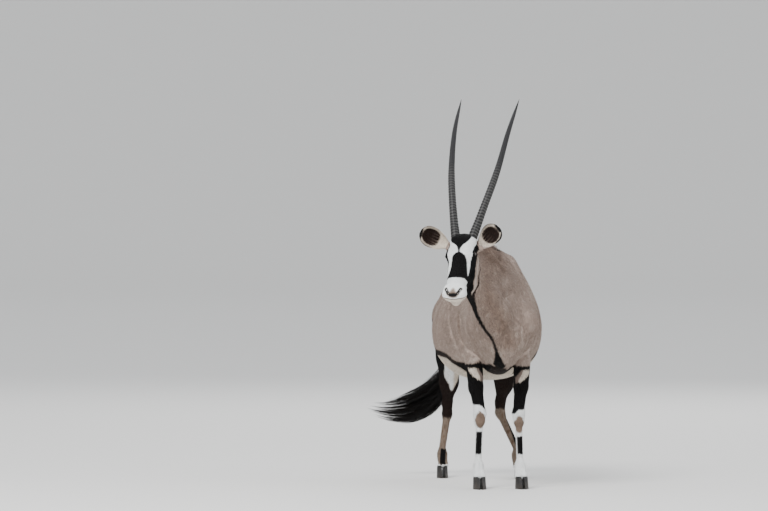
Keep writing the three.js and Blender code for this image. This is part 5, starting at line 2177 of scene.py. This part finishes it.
@dataclass
class LongHair:
    """Mane, tail and the hair in the ears."""

    anatomy: Anatomy
    markings: Markings
    unwrap: Unwrap
    mane_locks: int = 2600
    tail_locks: int = 2500
    ear_locks: int = 2600
    lock_count: int = 30  # bundles that the tail's hair hangs in
    mane_steps: int = 9  # how often a root is moved nearer to the skin
    mane_seed: int = 31
    tail_seed: int = 43
    ear_seed: int = 60

    def build(self) -> None:
        """Makes the three kinds of long hair."""
        strands = Strands(self.unwrap)
        mane_hair = MANE_HAIR.build()
        finish_piece(self.mane(strands), mane_hair, ["neck"])
        tail_hair = TAIL_HAIR.build()
        finish_piece(self.tail(strands), tail_hair, ["tail_tuft"])
        for side in SIDES:
            finish_piece(self.ear_hair(strands, side), mane_hair, ["ear_" + NAMES[side]])

    def mane(self, strands: Strands) -> bpy.types.Object:
        """Short upright hair along the crest, leaning back."""
        draw = np.random.default_rng(self.mane_seed)
        count = self.mane_locks
        share = mix(0.06, 0.97, draw.random(count))
        line = self.anatomy.crest
        centre, back = line.at(share), line.way(share)
        level = unit(np.cross(back, vector(0, 0, 1)))
        up = unit(np.cross(level, back))
        aside = draw.normal(0, 0.2, count)
        rise = unit(up + level * aside[:, None])
        root = centre.copy()
        reach = np.zeros(count)
        for _ in range(self.mane_steps):
            gap = self.anatomy.skin(root)
            reach -= np.clip(gap, -20, 20) * 0.9
            root = centre + rise * reach[:, None]
        height = draw.uniform(16, 29, count) * mix(1.0, 0.62, ramp(np.abs(share - 0.5), 0.3, 0.47))
        stops = np.linspace(0, 1, 4)
        lean = draw.uniform(0.35, 0.9, count)
        paths = (
            root[:, None] - rise[:, None] * 2
            + rise[:, None] * (height[:, None] * stops)[..., None]
            + back[:, None] * (height * lean)[:, None, None] * (stops**1.8)[None, :, None]
            + level[:, None] * (aside * height * 0.5)[:, None, None] * (stops**2)[None, :, None]
        )
        widths = draw.uniform(1.6, 3.0, count)[:, None] * np.array([1.0, 0.95, 0.6])
        tone = mix(self.markings.tone("umber"), self.markings.tone("dark"), draw.random((count, 1)) * 0.5)
        pale = (draw.random(count) < 0.5)[:, None]
        tone = np.where(pale, self.markings.tone("grey") * 0.9, tone)
        return strands.build("mane", paths, widths, back, tone, 1.25)

    def tail(self, strands: Strands) -> bpy.types.Object:
        """The tail's long locks, which leave the dock all round and stream to one side.

        Each lock follows the tail's line at its own distance, which spreads with an eased share of its
        length and closes again towards the tip.

        Args:
            strands: what builds the locks.

        Returns:
            The piece.
        """
        draw = np.random.default_rng(self.tail_seed)
        count = self.tail_locks
        line = self.anatomy.tail
        start = draw.uniform(0.17, 0.58, count)
        locks = np.linspace(-1, 1, self.lock_count) + draw.normal(0, 0.03, self.lock_count)
        ends = draw.uniform(0.87, 1.02, self.lock_count)
        depths = draw.normal(0, 15, self.lock_count)
        lock = draw.integers(0, self.lock_count, count)
        loose = draw.random(count) < 0.16
        spread = np.where(loose, draw.uniform(-1, 1, count), locks[lock])
        spread = np.clip(spread, -1, 1)
        spread_to = np.where(spread < 0, spread * 76, spread * 92)
        stray = draw.uniform(0.7, 0.98, count)
        end = np.where(loose, stray, ends[lock] - np.abs(draw.normal(0, 0.06, count)))
        end = np.clip(end - np.abs(spread_to) * 0.0007, 0.66, 0.998)
        deep = np.where(loose, draw.normal(0, 14, count), depths[lock])
        fray = draw.normal(0, 1, (2, count))
        stops = np.linspace(0, 1, 10)
        share = start[:, None] + (end - start)[:, None] * stops
        centre, way = line.at(share), line.way(share)
        u = unit(np.cross(way, vector(0, 1, 0)))
        v = np.cross(way, u)
        root = mix(20.0, 9.0, smooth((start - 0.17) / 0.16))
        angle = draw.uniform(0, math.tau, count)
        spring = np.sin(stops * math.pi / 2)[None]
        close = 1 - 0.55 * smooth((share - 0.74) / 0.26)
        close *= 1 - 0.62 * smooth((0.40 - share) / 0.16)
        sunk = mix(0.42, 1.0, smooth((share - 0.42) / 0.3))
        close *= np.where((spread < 0)[:, None], sunk, 1.0)
        rise = ((root * np.cos(angle))[:, None] * (1 - spring) + spread_to[:, None] * spring) * close
        off = (root * np.sin(angle))[:, None] * (1 - spring) + deep[:, None] * spring * close
        phase = draw.uniform(0, 6, self.lock_count)[lock][:, None] + draw.normal(0, 0.3, (count, 1))
        wave = 3.4 * np.sin(stops[None] * draw.uniform(5, 9, self.lock_count)[lock][:, None] + phase)
        loosened = 6.5 * spring * (1 - 0.85 * stops[None] ** 2)
        rise = rise + wave * spring + fray[0][:, None] * loosened
        off = off + wave * 0.5 * spring + fray[1][:, None] * loosened
        paths = centre - u * rise[..., None] + v * off[..., None]
        taper = np.array([0.75, 1.0, 1.05, 1.05, 1.0, 0.92, 0.8, 0.62, 0.4])
        widths = draw.uniform(1.8, 4.2, count)[:, None] * taper
        shade = draw.random((count, 1)) ** 2 * 0.8
        tone = mix(self.markings.tone("black"), self.markings.tone("dark"), shade)
        return strands.build("tail_hair", paths, widths, v[:, 0], tone, 1.25)

    def ear_hair(self, strands: Strands, side: int) -> bpy.types.Object:
        """Hair on an ear: short on its back, long and pale inside its rim."""
        draw = np.random.default_rng(self.ear_seed + side)
        ear, count = EARS[side], self.ear_locks
        share, angle = draw.uniform(0.13, 0.985, count), draw.uniform(-0.97, 0.97, count)
        inside = draw.random(count) < 0.45
        rim = draw.random(count) < 0.45
        angle = np.where(inside & rim, np.sign(angle) * draw.uniform(0.72, 0.98, count), angle)
        depth = inside.astype(float)
        root = ear.surface(share, angle, depth)
        step = ear.surface(np.minimum(share + 0.02, 1.0), angle, depth) - ear.surface(share, angle, depth)
        along = unit(step + 1e-9)
        radial = unit(ear.surface(share, angle, depth - 1) - root) * np.where(inside, -1.0, 1.0)[:, None]
        inward = unit(ear.surface(share, angle * 0.9, depth) - root + 1e-9)
        length = np.where(inside, draw.uniform(6, 13, count), draw.uniform(6, 10, count))
        length *= np.where(share > 0.86, 0.6, 1.0)
        length = np.minimum(length, (1.03 - share) * ear.length + 4)
        stops = np.linspace(0, 1, 4)
        lean = np.where(inside, 0.22, 0.0)
        way = unit(along + inward * lean[:, None])
        lift = np.where(inside, 0.24, 0.13)
        paths = (
            root[:, None] - radial[:, None] * 0.4
            + way[:, None] * (length[:, None] * stops)[..., None]
            + radial[:, None] * (length * lift)[:, None, None] * (stops * (1.6 - 0.9 * stops))[None, :, None]
        )
        widths = draw.uniform(1.0, 1.9, count)[:, None] * np.array([1.0, 0.9, 0.55])
        tone = ear.colour(root, depth, self.markings) * draw.uniform(0.88, 1.1, (count, 1))
        name = "ear_hair_" + NAMES[side]
        return strands.build(name, paths, widths, unit(np.cross(radial, way)), np.clip(tone, 0, 1), 1.05)


@dataclass
class Horns:
    """Long spears, ringed on their lower half."""

    reach: float = 934.0
    pitch: float = 37.2
    rings: int = 27
    ringed: float = 0.5
    stations: int = 460
    sides: int = 44

    def ways(self) -> tuple[Array, Array]:
        """The way that the horns rise, and the way to their front."""
        lean = math.radians(self.pitch)
        up = HEAD.facing * -math.sin(lean) + vector(0, 0, math.cos(lean))
        return up, np.cross(HEAD.left, up)

    def line(self, side: int) -> Line:
        """A horn's middle line, from its foot to its tip."""
        up, front = self.ways()
        base = HEAD.point(-18, side * 39, -44)
        rows = [
            (-12, 0, 0), (self.reach * 0.2, 41, 19), (self.reach * 0.45, 81, 24),
            (self.reach * 0.72, 103, 18), (self.reach, 115, -42),
        ]
        return Line([base + up * rise + HEAD.left * side * l + front * n for rise, l, n in rows])

    def build(self) -> None:
        """Makes both horns."""
        material = HORN.build()
        for side in SIDES:
            finish_piece(self.horn(side), material, ["horn_" + NAMES[side]])

    def horn(self, side: int) -> bpy.types.Object:
        """One horn: a tapering tube whose rings stand out most in front and fade up the horn.

        A ring's height follows the share of its step: a slow rise, a round crest and a quick fall.

        Args:
            side: LEFT or RIGHT.

        Returns:
            The piece.
        """
        line = self.line(side)
        share = np.concatenate([np.linspace(0, 0.55, self.stations), np.linspace(0.555, 1, 90)])
        centre, way = line.at(share), line.way(share)
        _, front = self.ways()
        u = unit(np.cross(way, front))
        v = np.cross(way, u)
        rows = [
            (0, 22.5), (0.04, 24), (0.12, 21.8), (0.24, 19.6), (0.4, 18.5), (0.5, 16.6), (0.6, 14.8),
            (0.72, 12.7), (0.86, 8.8), (0.94, 4.9), (1, 0.7),
        ]
        radius = through(rows, share)[:, 0]
        turn = np.linspace(0, math.tau, self.sides, endpoint=False)
        forward = 0.5 - 0.5 * np.sin(turn)
        place = (share[:, None] - 0.03) / (self.ringed - 0.03)
        wobble = 0.12 * np.sin(turn[None] * 2 + place * 20) / self.rings
        phase = ((place + wobble) * self.rings) % 1
        crest = smooth(np.clip(phase / 0.62, 0, 1)) * (1 - smooth(np.clip((phase - 0.74) / 0.26, 0, 1)))
        height = 2.7 * (1 - 0.7 * smooth(place)) * (0.55 + 0.45 * forward[None])
        height = np.where((place > 0) & (place < 1.04), height * ramp(place, 1.04, 0.86), 0)
        grain = 0.16 * np.sin(turn * 17)[None] * ramp(share, 0.3, 0.6)[:, None]
        r = np.maximum(radius[:, None] + height * (crest - 0.45) + grain * ramp(radius, 1, 6)[:, None], 0.5)
        rings = (
            centre[:, None] + u[:, None] * (r * 0.94 * np.cos(turn))[..., None]
            + v[:, None] * (r * 1.04 * np.sin(turn))[..., None]
        )
        points, faces = closed_tube(rings)
        # Painted light on the rings: a highlight on each crest and shade in each groove between them.
        ring_light_and_shade = np.where(height > 0, crest, 0.6)
        dark, pale = vector(0.050, 0.048, 0.050), vector(0.250, 0.245, 0.240)
        upper = vector(0.125, 0.122, 0.126)
        tone = mix(dark, pale, ring_light_and_shade[..., None] ** 1.5)
        tone = mix(tone, upper, ramp(place, 0.85, 1.1)[..., None])
        tone = mix(tone, dark * 0.8, ramp(share, 0.9, 1.0)[:, None, None]).reshape(-1, 3)
        colours = np.vstack([tone, dark, dark])
        return new_mesh("horn_" + NAMES[side] + "_ringed", points, faces, colours)


@dataclass
class Hooves:
    """Two pointed claws under each foot, with fine growth lines."""

    length: float = 102.0
    rings: int = 34
    sides: int = 44

    def build(self) -> None:
        """Makes the eight claws."""
        material = HOOF.build()
        for leg in LEGS:
            for place, half in (("inner", -leg.side), ("outer", leg.side)):
                name = f"hoof_{leg.kind}_{NAMES[leg.side]}_{place}"
                piece = self.claw(name + "_claw", leg.top_of_hoof(), half, leg.hoof_size)
                finish_piece(piece, material, [name])

    def claw(self, name: str, crown: Array, half: int, size: float) -> bpy.types.Object:
        """One claw: level rings, flat on the side that faces its fellow, that shrink and lean back upwards.

        A ring's share runs from the heel to the toe, and its width from the middle line swells with the
        sine of the turn, held in by the share to a power at the toe.

        Args:
            name: the piece's name.
            crown: the middle of the foot's crown.
            half: which side of the foot.
            size: 1 for a fore hoof, less for a hind one.

        Returns:
            The piece.
        """
        top = crown[2]
        rows = [(0, 0.97, 0.985, 0), (2.2, 1.0, 1.0, 0), (6, 1, 0.99, -1), (top * 0.55, 0.95, 0.8, -3),
                (top, 0.92, 0.6, -6)]
        z = np.linspace(0, 1, self.rings) ** 1.2 * (top + 3)
        across, along, lean = through(rows, z).T
        turn = np.linspace(0, math.tau, self.sides, endpoint=False)[None]
        share = (1 - np.cos(turn)) / 2
        swell = np.sin(turn)
        lines = 0.35 * np.sin(z * 1.15)[:, None] * ramp(z, 4, 12)[:, None]
        wide = (np.where(swell > 0, 33.0, 1.0) + lines) * size * across[:, None]
        waist = (1 - share**2.4) ** 0.75 * np.minimum(1, 0.6 + share * 2)
        x = half * (2.6 + 5 * share + wide * np.abs(swell) ** 0.7 * waist)
        pull = ramp(z, top - 6, top + 3)[:, None]
        x = mix(x, half * (2.6 + 5 * share + 16 * size), 0.16 * pull)
        y = crown[1] + 25 + lean[:, None] - self.length * size * share * along[:, None] + lines * share
        rings = np.stack([crown[0] + x, y, np.broadcast_to(z[:, None], x.shape)], -1)
        points, faces = closed_tube(rings)
        ragged = speckle(points * (1, 1, 0.4), 7.0, 12)
        foot, crest = vector(0.165, 0.145, 0.130), vector(0.095, 0.085, 0.082)
        tone = mix(foot, crest, ramp(points[:, 2], 8, 50)[:, None])
        dusty = ramp(ragged, 0.1, 0.9) * 0.35 + 0.35 * ramp(points[:, 2], 6, 0)
        tone = mix(tone, vector(0.36, 0.32, 0.28), dusty[:, None])
        return new_mesh(name, points, faces, tone)


@dataclass
class Eyes:
    """Dark, wet eyes with a level pupil."""

    rows: int = 60
    columns: int = 72

    def build(self) -> None:
        """Makes both eyes."""
        material = WET_EYE.build()
        for side in SIDES:
            finish_piece(self.ball(side), material, ["eye_" + NAMES[side]])

    def ball(self, side: int) -> bpy.types.Object:
        """One eye: a ball whose front bulges a little, coloured by its iris.

        Args:
            side: LEFT or RIGHT.

        Returns:
            The piece.
        """
        long, short, out = HEAD.eye_ways(side)
        fall = np.linspace(0, math.pi, self.rows)[1:-1, None]
        turn = np.linspace(0, math.tau, self.columns, endpoint=False)[None]
        bulge = 1 + 0.045 * ramp(fall, 0.75, 0.2)
        radius = (HEAD.eye_radius - 0.15) * bulge
        x = radius * np.sin(fall) * np.cos(turn)
        y = radius * np.sin(fall) * np.sin(turn)
        z = (radius * np.cos(fall)) * np.ones_like(turn)
        rings = HEAD.eye_at(side) + x[..., None] * long + y[..., None] * short + z[..., None] * out
        points, faces = closed_tube(rings)
        a, b, c = HEAD.about_eye(points, side)
        r = np.hypot(a, b)
        thread = np.sin(np.arctan2(b, a) * 34) * 0.5 + 0.5
        iris = mix(vector(0.19, 0.105, 0.06), vector(0.30, 0.17, 0.09), (thread * ramp(r, 12, 5))[:, None])
        iris = mix(iris, vector(0.05, 0.035, 0.03), ramp(r, 11.5, 13.5)[:, None])
        pupil = ramp(np.sqrt((a / 7.5) ** 2 + (b / 3.6) ** 2), 1.1, 0.9)
        tone = mix(iris, vector(0.012, 0.010, 0.012), pupil[:, None])
        tone = np.where((c > 0)[:, None], tone, vector(0.08, 0.06, 0.055))
        return new_mesh("eyeball_" + NAMES[side], points, faces, tone)


@dataclass
class Studio:
    """Camera, soft lights and a plain pale floor that curves up far away."""

    scale: float = 196.0  # pixels of the photograph for a metre at the animal
    distance: float = 28.0
    azimuth: float = -8.0
    elevation: float = 1.0
    frame_width: float = 768.0
    aim: Point = (-583.0, 82.0, 1190.0)
    sensor: float = 36.0
    lit: Point = (0.0, 0.0, 0.8)  # where the lamps point, in metres

    def camera(self) -> None:
        """Puts the camera at the photograph's angle and distance."""
        turn, rise = math.radians(self.azimuth), math.radians(self.elevation)
        back = vector(math.sin(turn) * math.cos(rise), -math.cos(turn) * math.cos(rise), math.sin(rise))
        target = PLACE.metres(np.array(self.aim))
        data = bpy.data.cameras.new("Camera")
        data.sensor_width = self.sensor
        data.lens = self.sensor * self.distance * self.scale / self.frame_width
        data.clip_start, data.clip_end = 0.5, 300.0
        made = placed("Camera", data)
        aimed(made, Vector(target + back * self.distance), Vector(-back))
        bpy.context.scene.camera = made

    def floor(self) -> None:
        """A round floor: level to its edge, then curving up as a quarter circle to a low wall."""
        level, curve, top, sides = 42.0, 14.0, 26.0, 96
        rise = np.linspace(0, math.pi / 2, 14)
        radii = np.concatenate([[4, 12, 24], level + curve * np.sin(rise), [level + curve]])
        heights = np.concatenate([[0, 0, 0], curve * (1 - np.cos(rise)), [top]])
        turn = np.linspace(0, math.tau, sides, endpoint=False)
        rings = np.stack([
            radii[:, None] * np.cos(turn), radii[:, None] * np.sin(turn),
            np.broadcast_to(heights[:, None], (len(radii), sides)),
        ], -1)
        points = np.vstack([rings.reshape(-1, 3), (0, 0, 0)])
        start = np.arange(sides)
        fan = np.stack([start, (start + 1) % sides, np.full(sides, len(points) - 1)], 1)
        mesh = bpy.data.meshes.new("Floor")
        faces = grid_faces(len(radii), sides)[:, ::-1].tolist() + fan.tolist()
        mesh.from_pydata(points.tolist(), [], faces)
        mesh.polygons.foreach_set("use_smooth", np.ones(len(mesh.polygons), bool))
        made = placed("Floor", mesh)
        paint = bpy.data.materials.new("Studio_floor")
        paint.use_nodes = True
        shader = paint.node_tree.nodes["Principled BSDF"]
        shader.inputs["Base Color"].default_value = (0.74, 0.73, 0.71, 1)
        shader.inputs["Roughness"].default_value = 0.95
        shader.inputs["Specular IOR Level"].default_value = 0.1
        mesh.materials.append(paint)

    def lights(self) -> None:
        """A soft sky, with broad lamps above, in front and behind."""
        world = bpy.data.worlds.new("Sky")
        world.use_nodes = True
        sky = world.node_tree.nodes["Background"]
        sky.inputs["Color"].default_value = (0.93, 0.96, 1.0, 1)
        sky.inputs["Strength"].default_value = 1.2
        bpy.context.scene.world = world
        for name, place, size, power in (
            ("Key", (-5.0, -7.0, 8.0), 4.0, 1250.0),
            ("Fill", (8.0, -6.0, 4.5), 6.0, 240.0),
            ("Back", (3.0, 9.0, 7.0), 6.0, 420.0),
        ):
            data = bpy.data.lights.new(name, "AREA")
            data.size = size
            data.energy = power
            aimed(placed(name, data), Vector(place), Vector(self.lit) - Vector(place))

    def build(self) -> None:
        """Makes the whole studio."""
        self.camera()
        self.floor()
        self.lights()


def main() -> None:
    """Builds the pieces in order and reports them."""
    logging.basicConfig(level=logging.INFO, format="%(name)s: %(message)s")
    Studio().build()
    anatomy, unwrap = Anatomy(), Unwrap()
    markings = Markings(anatomy)
    Body(anatomy, markings, unwrap).build()
    LongHair(anatomy, markings, unwrap).build()
    Horns().build()
    Hooves().build()
    Eyes().build()


if __name__ == "__main__":
    main()
